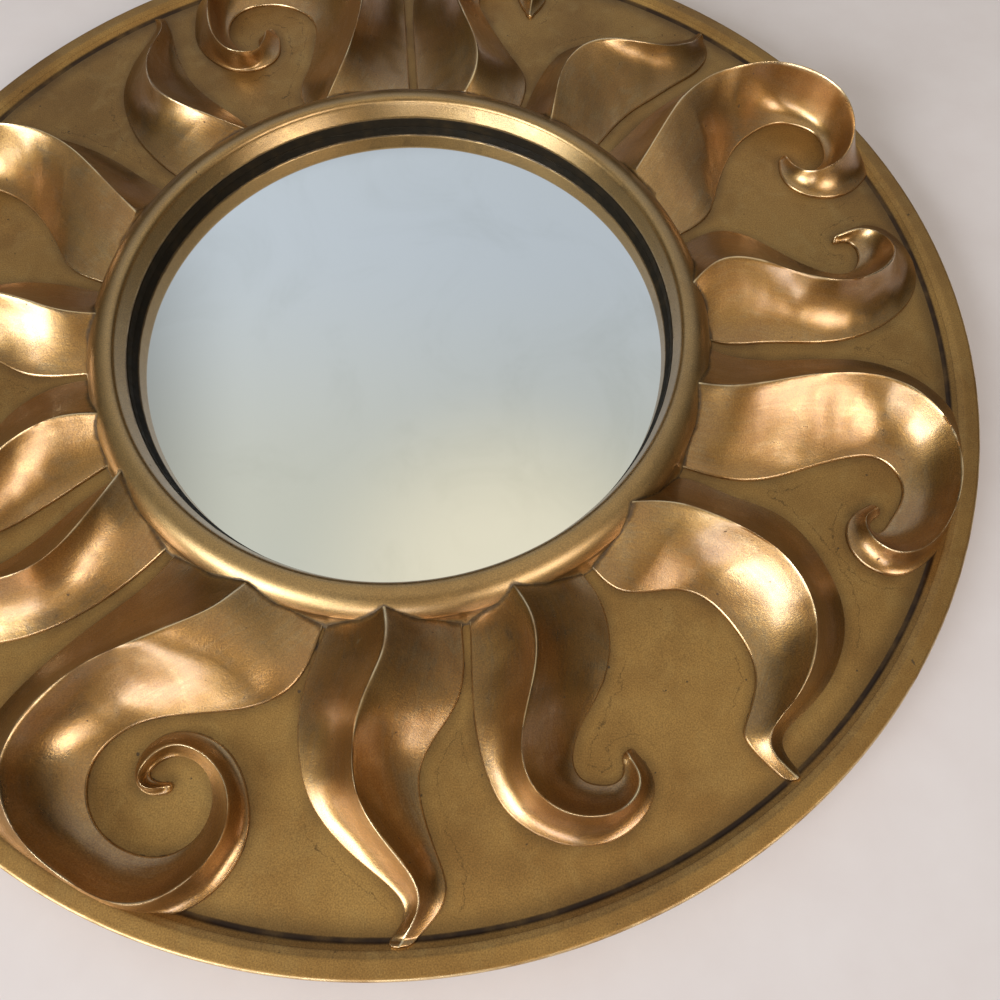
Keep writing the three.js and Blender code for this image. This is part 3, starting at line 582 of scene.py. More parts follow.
def new_group(name, inputs, outputs):
    """A shader node group with named sockets: {name: kind} or {name: (kind, default)}."""
    group = bpy.data.node_groups.new(name, "ShaderNodeTree")
    for label, (kind, default) in inputs.items():
        socket = group.interface.new_socket(label, in_out="INPUT", socket_type=kind)
        socket.default_value = default
    for label, kind in outputs.items():
        group.interface.new_socket(label, in_out="OUTPUT", socket_type=kind)
    nodes = Nodes(group)
    entry = nodes.add("NodeGroupInput")
    leave = nodes.add("NodeGroupOutput")
    return group, nodes, entry, leave


OPEN_SURFACE = 60.0
COLOUR = "NodeSocketColor"
VALUE = "NodeSocketFloat"

# ---------------- aged gold, with painted shade in the creases and painted highlights on the edges

LEAF = srgb(171, 127, 62)
COPPER = srgb(160, 109, 46)
SILVER = srgb(190, 160, 112)
FIELD_PAINT = srgb(172, 132, 72)
FIELD_SHADE = srgb(142, 102, 50)
GRIME_AND_SHADE = srgb(36, 21, 8)
BURNISHED_AND_HIGHLIGHT = srgb(236, 208, 160)


def aged_gold_and_light_group():
    """Gold paint with mottled leaf, dry brush streaks, wax and painted shade in the creases, specks, and
    edges painted bright, partly rubbed and partly as highlights.
    """
    group, n, entry, leave = new_group("aged_gold_and_light", {
        "Ground": (COLOUR, LEAF),
        "Warm": (COLOUR, COPPER),
        "Pale": (COLOUR, SILVER),
        "Crease mm": (VALUE, OPEN_SURFACE),
        "Edge mm": (VALUE, OPEN_SURFACE),
        "Along mm": (VALUE, 0.0),
        "Across mm": (VALUE, 0.0),
        "Crease reach": (VALUE, 3.0),
        "Edge reach": (VALUE, 0.8),
        "Roughness": (VALUE, 0.4),
        "Mottle": (VALUE, 0.5),
        "Streaks": (VALUE, 0.0),
    }, {"Color": COLOUR, "Roughness": VALUE, "Metallic": VALUE, "Height": VALUE, "Dirt and shade": VALUE})
    take = entry.outputs
    place = n.place()
    cloud = n.ramp(n.noise(place, 22, 4), 0.36, 0.66)
    patch = n.ramp(n.noise(place, 75, 5, 0.6, 0.6), 0.45, 0.72)
    grain = n.noise(place, 1500, 2)
    fleck = n.noise(place, 420, 4, 0.7)
    brushed = n.add("ShaderNodeCombineXYZ", inputs={
        "X": n.times(take["Along mm"], 0.045), "Y": n.times(take["Across mm"], 0.6)})
    streak = n.ramp(n.noise(brushed.outputs[0], 1.0, 5, 0.65, 0.4), 0.38, 0.66)
    streak = n.times(n.less(streak, 0.5), take["Streaks"])

    colour = n.mix(n.times(cloud, take["Mottle"]), take["Ground"], take["Warm"])
    pale_share = n.times(patch, n.times(take["Mottle"], 0.5))
    colour = n.mix(n.plus(pale_share, n.times(streak, 0.8), clamp=True), colour, take["Pale"])
    grain_shade = n.ramp(grain, 0.3, 0.7, 0.72, 1.24, smooth=False)
    colour = n.mix(1.0, colour, n.grey(grain_shade), "MULTIPLY")

    # wax in the creases, and painted shade there as well, thicker where the noise lets it
    reach = n.times(take["Crease reach"], n.ramp(n.noise(place, 90, 4), 0.3, 0.7, 0.5, 1.4))
    wax_and_shade = n.ramp(n.math("DIVIDE", take["Crease mm"], reach), 0.15, 1.0, 1.0, 0.0)
    wax_and_shade = n.times(wax_and_shade, n.ramp(fleck, 0.25, 0.6, 0.7, 1.0))
    # brown specks and faint stains all over
    specks = n.ramp(n.noise(place, 230, 2, 0.5), 0.745, 0.775)
    stain = n.times(n.ramp(n.noise(place, 9, 5, 0.65), 0.5, 0.78), 0.22)
    dirt_and_shade = n.most(n.times(wax_and_shade, 0.85), n.times(specks, 0.75))
    dirt_and_shade = n.most(dirt_and_shade, stain)
    # the grime colour darkens the specks, stains and wax, and paints shade into the creases
    colour = n.mix(dirt_and_shade, colour, GRIME_AND_SHADE)

    # raised edges are painted bright: partly rubbed gilding, partly painted highlight
    edge = n.ramp(n.math("DIVIDE", take["Edge mm"], take["Edge reach"]), 0.2, 1.0, 1.0, 0.0)
    edge = n.times(edge, n.ramp(n.noise(place, 60, 3), 0.33, 0.58, 0.1, 1.0))
    colour = n.mix(n.times(edge, 0.85), colour, BURNISHED_AND_HIGHLIGHT)

    rough = n.plus(take["Roughness"], n.ramp(patch, 0.0, 1.0, 0.03, -0.04))
    rough = n.less(rough, n.times(streak, 0.12))
    rough = n.plus(rough, n.times(dirt_and_shade, 0.3))
    rough = n.less(rough, n.times(edge, 0.1), clamp=True)
    metal = n.ramp(dirt_and_shade, 0.0, 1.0, 0.96, 0.1)

    height = n.times(n.noise(place, 700, 3), 0.07)
    height = n.plus(height, n.times(n.noise(place, 150, 4, 0.6), 0.14))
    height = n.plus(height, n.times(grain, 0.095))
    height = n.less(height, n.times(dirt_and_shade, 0.03))
    for label, socket in (("Color", colour), ("Roughness", rough), ("Metallic", metal), ("Height", height),
                          ("Dirt and shade", dirt_and_shade)):
        n.feed(leave.inputs[label], socket)
    return group


AGED_GOLD_AND_LIGHT = aged_gold_and_light_group()


def new_material(name):
    """A material with its node helper and its Principled shader."""
    material = bpy.data.materials.new(name)
    material.use_nodes = True
    tree = material.node_tree
    shader = next(node for node in tree.nodes if node.type == "BSDF_PRINCIPLED")
    return material, Nodes(tree), shader


def mask(n, label):
    """A number per point that the mesh carries."""
    return n.add("ShaderNodeAttribute", attribute_type="GEOMETRY", attribute_name=label).outputs["Fac"]


VARNISH_IOR = 1.85


def gold_material(name, looks, tide_and_shade=False):
    """Aged gold with the piece's own crease, edge and brush masks, under a satin varnish; the crease and edge
    masks also paint shade into creases and highlights onto edges.
    """
    material, n, shader = new_material(name)
    gold = n.add("ShaderNodeGroup", node_tree=AGED_GOLD_AND_LIGHT, inputs={
        "Ground": looks["ground"], "Warm": looks["warm"], "Pale": looks["pale"],
        "Crease mm": mask(n, "crease_mm"), "Edge mm": mask(n, "edge_mm"),
        "Along mm": mask(n, "along_mm"), "Across mm": mask(n, "across_mm"),
        "Crease reach": looks["crease"], "Edge reach": looks["edge"],
        "Roughness": looks["rough"], "Mottle": looks["mottle"], "Streaks": looks["streaks"]})
    colour = gold.outputs["Color"]
    if tide_and_shade:
        colour = tide_lines_and_shade(n, colour)
    n.relief(shader, looks["bump"], gold.outputs["Height"])
    n.feed(shader.inputs["Base Color"], colour)
    n.feed(shader.inputs["Roughness"], gold.outputs["Roughness"])
    n.feed(shader.inputs["Metallic"], gold.outputs["Metallic"])
    n.feed(shader.inputs["Coat Weight"], n.ramp(gold.outputs["Dirt and shade"], 0.0, 0.6, looks["varnish"], 0.1))
    shader.inputs["Coat Roughness"].default_value = looks["varnish_rough"]
    shader.inputs["Coat IOR"].default_value = VARNISH_IOR
    return material


def tide_lines_and_shade(n, colour):
    """Thin brown lines where a wash of wax dried off the rays, with painted shadow on the field along the
    rim, a dark line at the rim's foot that is partly grime and partly painted shade, and painted shade beside
    the rays' feet and the bezel's foot.
    """
    place = n.place()
    wander = n.ramp(n.noise(place, 95, 6, 0.72), 0.0, 1.0, -6.5, 6.5, smooth=False)
    off_line = n.math("ABSOLUTE", n.less(n.plus(mask(n, "crease_mm"), wander), 7.0))
    line = n.ramp(off_line, 0.05, 0.42, 1.0, 0.0)
    line = n.times(line, n.ramp(n.noise(place, 13, 2), 0.5, 0.62, 0.0, 0.6))
    line = n.times(line, n.ramp(n.noise(place, 300, 3), 0.35, 0.6, 0.2, 1.0))
    # painted shadow of the rim on the field, fading out over 11 mm
    rim = mask(n, "rim_mm")
    shade = n.times(n.ramp(rim, 0.0, 11.0, 0.5, 0.0), n.ramp(rim, -0.4, 0.4))
    # dark line at the rim's foot: partly grime, partly painted shade
    groove = n.ramp(n.math("ABSOLUTE", n.plus(rim, 0.4)), 0.8, 2.1, 1.0, 0.0)
    groove = n.times(groove, n.ramp(n.noise(place, 70, 4), 0.3, 0.6, 0.78, 1.0))
    shade = n.most(shade, groove)
    # painted shade on the field beside the rays' feet and the bezel's foot
    foot = n.ramp(mask(n, "crease_mm"), 0.0, 5.0, 0.42, 0.0, smooth=False)
    foot = n.times(foot, n.ramp(n.noise(place, 45, 4), 0.3, 0.65, 0.4, 1.0))
    shade = n.most(shade, foot)
    # one dark brown for the tide lines and for the painted shade
    return n.mix(n.most(line, shade), colour, srgb(52, 31, 10))


FIELD_LOOKS = {
    "ground": FIELD_PAINT, "warm": FIELD_SHADE, "pale": srgb(178, 143, 86), "crease": 0.35, "edge": 1.1,
    "rough": 0.48, "mottle": 0.7, "streaks": 0.0, "bump": 0.6, "varnish": 0.2, "varnish_rough": 0.35}
FIELD_GOLD = gold_material("field_gold", FIELD_LOOKS, tide_and_shade=True)
RAY_LOOKS = {
    "ground": LEAF, "warm": COPPER, "pale": SILVER, "crease": 2.4, "edge": 0.75,
    "mottle": 0.65, "streaks": 0.3, "bump": 0.8, "varnish": 0.85}
RAY_GOLDS = {
    "flame": gold_material("flame_gold", {**RAY_LOOKS, "rough": 0.33, "varnish_rough": 0.27}),
    "volute": gold_material("volute_gold", {**RAY_LOOKS, "rough": 0.32, "varnish_rough": 0.26})}
BEZEL_GOLD = gold_material("bezel_gold", {
    "ground": srgb(172, 136, 82), "warm": srgb(158, 119, 64), "pale": srgb(182, 152, 104),
    "crease": 1.8, "edge": 0.5, "rough": 0.34, "mottle": 0.4, "streaks": 0.0, "bump": 0.35,
    "varnish": 0.5, "varnish_rough": 0.28})


def slip_black():
    """Near black paint with a slight sheen, rubbed to olive brown in places."""
    material, n, shader = new_material("slip_black")
    place = n.place()
    worn = n.ramp(n.noise(place, 120, 5, 0.6), 0.45, 0.75, 0.0, 0.5)
    n.feed(shader.inputs["Base Color"], n.mix(worn, srgb(30, 23, 13), srgb(56, 42, 22)))
    n.feed(shader.inputs["Roughness"], n.ramp(n.noise(place, 300, 3), 0.3, 0.7, 0.6, 0.75))
    shader.inputs["Specular IOR Level"].default_value = 0.12
    n.relief(shader, 0.3, n.times(n.noise(place, 500, 3), 0.1))
    return material


def mirror_silver():
    """Silvered glass with the faintest wiping haze."""
    material, n, shader = new_material("mirror_silver")
    place = n.place()
    haze = n.ramp(n.noise(place, 14, 4, 0.6, 1.0), 0.45, 0.8)
    n.feed(shader.inputs["Base Color"], n.mix(haze, (0.86, 0.875, 0.87, 1), (0.80, 0.815, 0.80, 1)))
    n.feed(shader.inputs["Roughness"], n.ramp(haze, 0.0, 1.0, 0.02, 0.06))
    shader.inputs["Metallic"].default_value = 1.0
    return material


def plated_metal(name, bright, dull, rough):
    """Rolled and plated sheet metal or wire with dull patches and fine scratches."""
    material, n, shader = new_material(name)
    place = n.place()
    dulled = n.ramp(n.noise(place, 140, 5, 0.65), 0.4, 0.68)
    rolled = n.add("ShaderNodeVectorMath", operation="MULTIPLY", inputs={0: place, 1: (300, 2600, 900)})
    scratch = n.noise(rolled.outputs[0], 1.0, 4, 0.7)
    colour = n.mix(dulled, bright, dull)
    n.feed(shader.inputs["Base Color"], n.mix(n.ramp(scratch, 0.6, 0.75, 0.0, 0.4), colour, dull))
    n.feed(shader.inputs["Roughness"], n.ramp(dulled, 0.0, 1.0, rough, rough + 0.2))
    shader.inputs["Metallic"].default_value = 1.0
    n.relief(shader, 0.4, n.times(scratch, 0.06))
    return material


def matt_material(name, first, second, patch_scale, grain_scale, grain_depth, rough):
    """A matt surface in two close shades with its own grain: paint, rubber, felt or pressed board."""
    material, n, shader = new_material(name)
    place = n.place()
    patch = n.ramp(n.noise(place, patch_scale, 5, 0.65), 0.35, 0.68)
    grain = n.noise(place, grain_scale, 4, 0.7)
    colour = n.mix(patch, first, second)
    colour = n.mix(1.0, colour, n.grey(n.ramp(grain, 0.3, 0.7, 0.75, 1.15)), "MULTIPLY")
    n.feed(shader.inputs["Base Color"], colour)
    n.feed(shader.inputs["Roughness"], n.ramp(grain, 0.3, 0.7, rough - 0.08, rough))
    n.relief(shader, 0.6, n.times(grain, grain_depth))
    return material


SLIP_BLACK = slip_black()
MIRROR_SILVER = mirror_silver()
BRASS = plated_metal("brass", srgb(198, 160, 84), srgb(140, 104, 52), 0.28)
ZINC = plated_metal("zinc", srgb(196, 200, 204), srgb(146, 150, 156), 0.3)
RUBBER = matt_material("rubber", srgb(24, 24, 25), srgb(38, 38, 40), 60, 900, 0.08, 0.85)
FELT = matt_material("felt", srgb(84, 82, 78), srgb(104, 101, 96), 90, 1500, 0.5, 0.98)
HARDBOARD = matt_material("hardboard", srgb(106, 78, 52), srgb(128, 96, 64), 25, 1100, 0.16, 0.9)
BACK_PAINT = matt_material("back_paint", srgb(62, 48, 32), srgb(80, 63, 42), 18, 500, 0.2, 0.85)

# ---------------- fitting pieces to the frame


def fit(piece, node, body="frame_body"):
    """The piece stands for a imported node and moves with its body."""
    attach(piece, body)
    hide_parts(node)
    return piece


def dress(piece, *materials):
    piece.data.materials.clear()
    for material in materials:
        piece.data.materials.append(material)
    return piece


# ---------------- rays

BEZEL_SEGMENTS = 480

FLANK_STEPS = 16
TIP_STEPS = 7
TIP_SPACING = 0.97
TIP_END = 0.9985
CREASE_REACH = 6.0
TIP_RISE = 0.35
LEAST_WIDTH = 1e-3
FOOT_SHARE = 0.5
FOOT_EDGE_ANGLES = (0, 45)
STEEPER_HOLLOW = 1.5
LEAST_STEEPNESS = 0.05
BRUSH_SHIFT = 40.0


def flank_shares():
    """Where a flank is cut between the foot's edge (0) and the crest (1), closer together at both."""
    even = np.linspace(0, 1, FLANK_STEPS + 1)
    return 0.5 - 0.5 * np.cos(math.pi * even)


def with_tip(left, crest, right, reach):
    """The rails run on past the last station, where the ray closes in a rounded or drawn-out tip."""
    heading = crest[-1, :2] - crest[-4, :2]
    heading /= np.linalg.norm(heading)
    steps = np.sin(np.linspace(0, math.pi / 2, TIP_STEPS + 1)[1:-1] * TIP_SPACING) * reach
    steps = np.append(steps, reach * TIP_END)
    ahead = heading * steps[:, None]
    left = np.vstack([left, left[-1] + ahead])
    right = np.vstack([right, right[-1] + ahead])
    crest = np.vstack([crest, np.column_stack([crest[-1, :2] + ahead, np.full(len(steps), crest[-1, 2])])])
    closing = np.ones(len(crest))
    closing[-len(steps):] = np.sqrt(1 - (steps / reach) ** 2)
    return left, crest, right, closing


def flank_climb(share, steepness):
    """How far up a flank has climbed: it leaves the foot at an even slope and hollows before the crest."""
    even = min(1.0, FOOT_SLOPE / steepness)
    hollow = STEEP_FLANK_HOLLOW + STEEPER_HOLLOW * min(1.0, max(0.0, steepness - 1))
    return even * share ** FLANK_HOLLOW + (1 - even) * share ** hollow


def tip_reach(name, kind, half_width):
    """How far a ray runs on past its last station: a volute ends round, a flame drawn out."""
    if kind == "volute":
        return half_width
    return FLAME_TIP_REACH if name == "carved_ray_01_flame" else max(STUB_TIP_REACH, half_width)


def rim_height(radius):
    """How far the rim's wall and top stand above the field at a radius."""
    return np.clip((radius - RIM_FOOT_RADIUS) / RIM_WALL_RUN, 0, 1) * (RIM_Z - FIELD_Z)


def flank_section(middle, foot, rise, shares):
    """One flank from its sunk foot to the crest: points, edge distances and distances from the crest."""
    foot_height = min(RAY_FOOT_THICKNESS, rise * FOOT_SHARE)
    width = max(np.linalg.norm(foot - middle), LEAST_WIDTH)
    edge_round = min(FOOT_EDGE_ROUND, width * 0.3, foot_height * 0.6)
    crest_round = min(CREST_ROUND, width * 0.2)
    steepness = max((rise - foot_height) / width, LEAST_STEEPNESS)
    inward = (middle - foot) / width
    points = [(0.0, -RAY_FOOT_SINK)]
    points += [(edge_round * (1 - math.cos(a)), foot_height - edge_round * (1 - math.sin(a)))
               for a in np.radians(FOOT_EDGE_ANGLES)]
    for share in shares:
        away = (1 - share) * (width - edge_round)
        eased = (math.hypot(away, crest_round) - crest_round) / width
        climb = flank_climb(max(0.0, 1 - eased), steepness)
        points.append((width - away, foot_height + (rise - foot_height) * climb))
    places = [(*(foot + inward * across), FIELD_Z + height) for across, height in points]
    # distance to the foot's edge or the crest, where the gold is painted bright, partly rubbed and partly
    # painted highlight
    edges = [min(width - across, math.hypot(across, foot_height - height)) for across, height in points]
    return places, edges, [width - across for across, height in points]


def ray_mesh(name, rows, kind, seed):
    """One ray as a closed mesh, with its masks: piece, points and faces."""
    left, crest, right = rails_of(rows)
    half_width = np.linalg.norm(left[-1] - right[-1]) / 2
    left, crest, right, closing = with_tip(left, crest, right, tip_reach(name, kind, half_width))
    count = len(crest)
    run = np.concatenate([[0], np.cumsum(np.linalg.norm(np.diff(crest[:, :2], axis=0), axis=1))])
    shares = flank_shares()
    sections, edges, across_mm, along_mm = [], [], [], []
    for i in range(count):
        middle = crest[i, :2]
        rise = crest[i, 2] * (TIP_RISE + (1 - TIP_RISE) * closing[i])
        flanks = [flank_section(middle, middle + (foot - middle) * closing[i], rise, shares)
                  for foot in (left[i], right[i])]
        (places, near_edge, from_crest), (far_places, far_edge, far_from_crest) = flanks
        sections += places + far_places[-2::-1]
        edges += near_edge + far_edge[-2::-1]
        across_mm += [-value for value in from_crest] + far_from_crest[-2::-1]
        along_mm += [run[i] + seed * BRUSH_SHIFT] * (len(sections) - len(along_mm))
    points = np.array(sections)
    if kind == "flame":
        points[:, 2] += rim_height(np.hypot(points[:, 0], points[:, 1]))
    ring = len(points) // count
    faces = [face[::-1] for face in ring_faces(count, ring, closed_rings=False)]
    faces += end_caps(count, ring)
    piece = add_mesh(name, points, faces)
    # hand-finished unevenness of the flanks, none at the feet
    normals = np.empty(len(points) * 3)
    piece.data.vertices.foreach_get("normal", normals)
    keep = np.clip((points[:, 2] - FIELD_Z - RAY_FOOT_THICKNESS) / 3, 0, 1)
    wave = lumps(points, *BROAD_WAVE, seed) + lumps(points, *FINE_WAVE, seed + 31)
    points = points + normals.reshape(-1, 3) * (wave * keep)[:, None]
    points[:, 2] = np.minimum(points[:, 2], cad_box[1].z / MM - HEADROOM)
    piece.data.vertices.foreach_set("co", (points * MM).ravel())
    set_masks(piece, {"edge_mm": edges, "along_mm": along_mm, "across_mm": across_mm})
    piece.data.update()
    return piece, points, faces


def gap_to(points, tree, reach):
    """Distance from each point to a neighbour's surface, up to a reach, in millimetres."""
    gaps = np.full(len(points), reach)
    for index, point in enumerate(points):
        found = tree.find_nearest(point, reach)
        if found[0] is not None:
            gaps[index] = found[3]
    return gaps


def bezel_profile():
    """The bezel's seen outline, from the skirt's foot over the bead to its leaning inner face."""
    bead_radius = SIGHT_RADIUS + BEAD_INNER_LEAN + BEAD_INNER_ROUND
    back = arc(bead_radius, BEAD_TOP_Z - BEAD_BACK_ROUND, BEAD_BACK_ROUND, 90 - BEAD_BACK_SWEEP, 90, 26)
    waist_r, waist_z = back[0]
    skirt = [(waist_r + (BEZEL_FOOT_RADIUS - waist_r) * (1 - share) ** SKIRT_HOLLOW,
              FIELD_Z + (waist_z - FIELD_Z) * share) for share in np.arange(14) / 14]
    face_rise = BEAD_TOP_Z - BEAD_INNER_ROUND - SLIP_TOP_Z
    lean = math.degrees(math.atan2(BEAD_INNER_LEAN, face_rise))
    front = arc(bead_radius, BEAD_TOP_Z - BEAD_INNER_ROUND, BEAD_INNER_ROUND, 90, 180 - lean, 8)[1:]
    lip = (SIGHT_RADIUS + 0.25, SLIP_TOP_Z + 0.5)
    face = stretch(front[-1], lip, 1.2)[1:]
    return skirt + back + front + face + [lip]


def sun_rays():
    """All fifteen rays with their creases against the bezel and each other; their surfaces come back."""
    outline = bezel_profile()
    bezel_faces = ring_faces(BEZEL_SEGMENTS, len(outline), closed_points=False)
    bezel_tree = BVHTree.FromPolygons(turned_points(outline, BEZEL_SEGMENTS).tolist(), bezel_faces)
    made, trees = [], []
    for number, (node, rows) in enumerate(RAYS):
        kind = node.rsplit("_", 1)[1]
        ray, points, faces = ray_mesh(f"carved_{node}", rows, kind, number)
        fit(dress(ray, RAY_GOLDS[kind]), node)
        made.append((ray, points))
        trees.append(BVHTree.FromPolygons(points.tolist(), faces))
    for number, (ray, points) in enumerate(made):
        # distance to the bezel and the neighbouring rays, which the gold darkens: wax, and painted shade
        # where they meet
        crease = np.full(len(points), OPEN_SURFACE)
        near_root = np.hypot(points[:, 0], points[:, 1]) < BEZEL_FOOT_RADIUS + CREASE_REACH
        crease[near_root] = gap_to(points[near_root], bezel_tree, CREASE_REACH)
        for neighbour in (number - 1, (number + 1) % len(made)):
            crease = np.minimum(crease, gap_to(points, trees[neighbour], CREASE_REACH))
        crease[crease >= CREASE_REACH] = OPEN_SURFACE
        set_masks(ray, {"crease_mm": crease})
    return trees


RAY_SURFACES = sun_rays()

# ---------------- frame plate with its rim

PLATE_SEGMENTS = 960
FIELD_STEP = 1.25
TIDE_AND_SHADE_REACH = 14.0
UNDER_BEZEL = 4


def frame_plate():
    """The plate from the opening over the field and rim, round the edge and across the back."""
    rim_low = BACK_Z + BACK_EDGE_ROUND
    outline = stretch((OPENING_RADIUS, BOARD_TOP_Z), (BOARD_SEAT_RADIUS, BOARD_TOP_Z), 5)
    outline += stretch((BOARD_SEAT_RADIUS, BOARD_TOP_Z), (BOARD_SEAT_RADIUS, BACK_Z), 2)
    outline += stretch((BOARD_SEAT_RADIUS, BACK_Z), (FRAME_RADIUS - BACK_EDGE_ROUND, BACK_Z), 7)
    outline += arc(FRAME_RADIUS - BACK_EDGE_ROUND, rim_low, BACK_EDGE_ROUND, -90, 0, 4)
    outline += arc(FRAME_RADIUS - RIM_EDGE_ROUND, RIM_Z - RIM_EDGE_ROUND, RIM_EDGE_ROUND, 0, 90, 5)
    # the rim's top, its inner arris and the wall down to the field
    outline += stretch((FRAME_RADIUS - RIM_EDGE_ROUND - 0.8, RIM_Z),
                       (RIM_INNER_TOP_RADIUS + RIM_ARRIS_ROUND, RIM_Z), 1.5)
    lean = math.degrees(math.atan2(RIM_Z - FIELD_Z, RIM_WALL_RUN))
    outline += arc(RIM_INNER_TOP_RADIUS + RIM_ARRIS_ROUND, RIM_Z - RIM_ARRIS_ROUND, RIM_ARRIS_ROUND,
                   90, 90 + lean, 3)
    outline += stretch((RIM_INNER_TOP_RADIUS - 0.4, RIM_Z - 0.75), (RIM_FOOT_RADIUS, FIELD_Z), 1.0)
    outline += stretch((RIM_FOOT_RADIUS, FIELD_Z), (BEZEL_FOOT_RADIUS - UNDER_BEZEL, FIELD_Z), FIELD_STEP)
    outline += stretch((BEZEL_FOOT_RADIUS - UNDER_BEZEL, FIELD_Z), (OPENING_RADIUS, FIELD_Z), 5)
    outline += stretch((OPENING_RADIUS, FIELD_Z), (OPENING_RADIUS, BOARD_TOP_Z), 4)
    points = turned_points(outline, PLATE_SEGMENTS)
    outline = np.array(outline)

    radius = np.tile(outline[:, 0], PLATE_SEGMENTS)
    height = np.tile(outline[:, 1], PLATE_SEGMENTS)
    on_field = (height == FIELD_Z) & (radius > BEZEL_FOOT_RADIUS - UNDER_BEZEL) & (radius <= RIM_FOOT_RADIUS)
    crease = np.full(len(points), OPEN_SURFACE)
    # distances from the field to the rays, and below to the bezel's foot, for the tide lines, the wax and the
    # painted shade beside them
    for tree in RAY_SURFACES:
        crease[on_field] = np.minimum(crease[on_field], gap_to(points[on_field], tree, TIDE_AND_SHADE_REACH))
    above_back = height >= FIELD_Z
    # distance from the rim's foot, for the painted rim shadow and the partly painted dark groove
    rim_gap = np.hypot(radius - RIM_FOOT_RADIUS, height - FIELD_Z)
    on_wall = above_back & (radius > RIM_FOOT_RADIUS) & (rim_gap < RIM_WALL_RUN)
    rim_mm = np.where(on_field, rim_gap, np.where(on_wall, -rim_gap, OPEN_SURFACE))
    crease = np.where(above_back, np.minimum(crease, np.abs(radius - BEZEL_FOOT_RADIUS)), crease)
    # distance to the rim's outer arris, painted bright there, partly rubbed and partly painted highlight
    edge = np.hypot(radius - FRAME_RADIUS + 0.5, height - RIM_Z + 0.5)
    flat = np.clip((crease - 1) / 4, 0, 1) * on_field
    points[:, 2] += lumps(points, 34, 0.28, 5) * flat
    faces = ring_faces(PLATE_SEGMENTS, len(outline))
    masks = {"crease_mm": crease, "edge_mm": edge, "rim_mm": rim_mm}
    piece = add_mesh("plate_with_rim", points, faces, masks, 50)
    dress(piece, FIELD_GOLD, BACK_PAINT)
    low = (outline[:, 1] + np.roll(outline[:, 1], -1)) / 2 < BACK_Z + BACK_EDGE_ROUND / 2
    piece.data.polygons.foreach_set("material_index", np.tile(low, PLATE_SEGMENTS).astype(np.int32))
    return piece


fit(frame_plate(), "frame_plate")

# ---------------- bezel, slip and glass

def turned_ring(name, outline, segments, place=(0.0, 0.0), sharp_angle=40):
    """A ring turned about an axis at place, from a closed outline that stays off the axis."""
    points = turned_points(outline, segments) + (*place, 0.0)
    return add_mesh(name, points, ring_faces(segments, len(outline)), sharp_angle=sharp_angle)


def bezel_ring():
    """The rounded bead, its hollow skirt and the seat over the dark slip."""
    seat = SLIP_OUTER_RADIUS + CUT_GAP
    under = [(SIGHT_RADIUS + 0.5, SLIP_TOP_Z), (seat, SLIP_TOP_Z), (seat, FIELD_Z)]
    seen = bezel_profile()
    outline = np.array(seen + under)
    points = turned_points(outline, BEZEL_SEGMENTS)
    height = np.tile(outline[:, 1], BEZEL_SEGMENTS)
    above = np.tile(np.arange(len(outline)) < len(seen), BEZEL_SEGMENTS)
    # distances to the field and the rays, which the gold darkens: wax, and painted shade in these creases
    crease = np.where(above, np.minimum(height - FIELD_Z, OPEN_SURFACE), OPEN_SURFACE)
    for tree in RAY_SURFACES:
        crease[above] = np.minimum(crease[above], gap_to(points[above], tree, CREASE_REACH))
    # on the leaning inner face, the height above the slip, darkened near it as painted shade under the bead,
    # with some wax
    inner = np.hypot(points[:, 0], points[:, 1]) < SIGHT_RADIUS + BEAD_INNER_LEAN
    crease[inner] = height[inner] - SLIP_TOP_Z
    points[:, 2] += lumps(points, 30, 0.12, 9) * np.clip((height - SLIP_TOP_Z - 4) / 4, 0, 1)
    faces = ring_faces(BEZEL_SEGMENTS, len(outline))
    masks = {"crease_mm": crease, "edge_mm": np.full(len(points), OPEN_SURFACE)}
    return add_mesh("bezel_bead_and_skirt", points, faces, masks, 45)


fit(dress(bezel_ring(), BEZEL_GOLD), "bezel_ring")

GLASS_CENTRE_Z = GLASS_TOP_Z - GLASS_CURVE_RADIUS


def dome_height(curve_radius, radius):
    """The height of a dome round the glass's centre of curvature."""
    return GLASS_CENTRE_Z + math.sqrt(curve_radius ** 2 - radius ** 2)


def dark_slip():
    """The black line round the glass: it laps the glass's edge and sits in the plate's opening."""
    collar = OPENING_RADIUS - CUT_GAP
    outline = [(r, dome_height(GLASS_CURVE_RADIUS, r) + SEAT_GAP)
               for r in np.linspace(SIGHT_RADIUS, collar, 5)]
    outline += [(collar, FIELD_Z), (SLIP_OUTER_RADIUS, FIELD_Z), (SLIP_OUTER_RADIUS, SLIP_TOP_Z),
                (SIGHT_RADIUS + 0.5, SLIP_TOP_Z), (SIGHT_RADIUS, SLIP_TOP_Z - 0.5)]
    return turned_ring("black_slip_ring", outline, BEZEL_SEGMENTS, sharp_angle=35)


fit(dress(dark_slip(), SLIP_BLACK), "dark_slip")

GLASS_RINGS = 60
GLASS_SEGMENTS = 288
CUSHION_SEGMENTS = 192
BOARD_SEGMENTS = 240
SCREW_SEGMENTS = 72
BUMPER_SEGMENTS = 64


def turned_solid(name, outline, segments, sharp_angle=40):
    """A solid turned about Z; its outline starts and ends on that axis."""
    points = turned_points(outline[1:-1], segments)
    count = len(outline) - 2
    faces = ring_faces(segments, count, closed_points=False)
    first_pole, last_pole = len(points), len(points) + 1
    for i in range(segments):
        after = (i + 1) % segments
        faces.append((first_pole, after * count, i * count))
        faces.append((last_pole, i * count + count - 1, after * count + count - 1))
    points = np.vstack([points, [(0, 0, outline[0][1]), (0, 0, outline[-1][1])]])
    return add_mesh(name, points, faces, sharp_angle=sharp_angle)


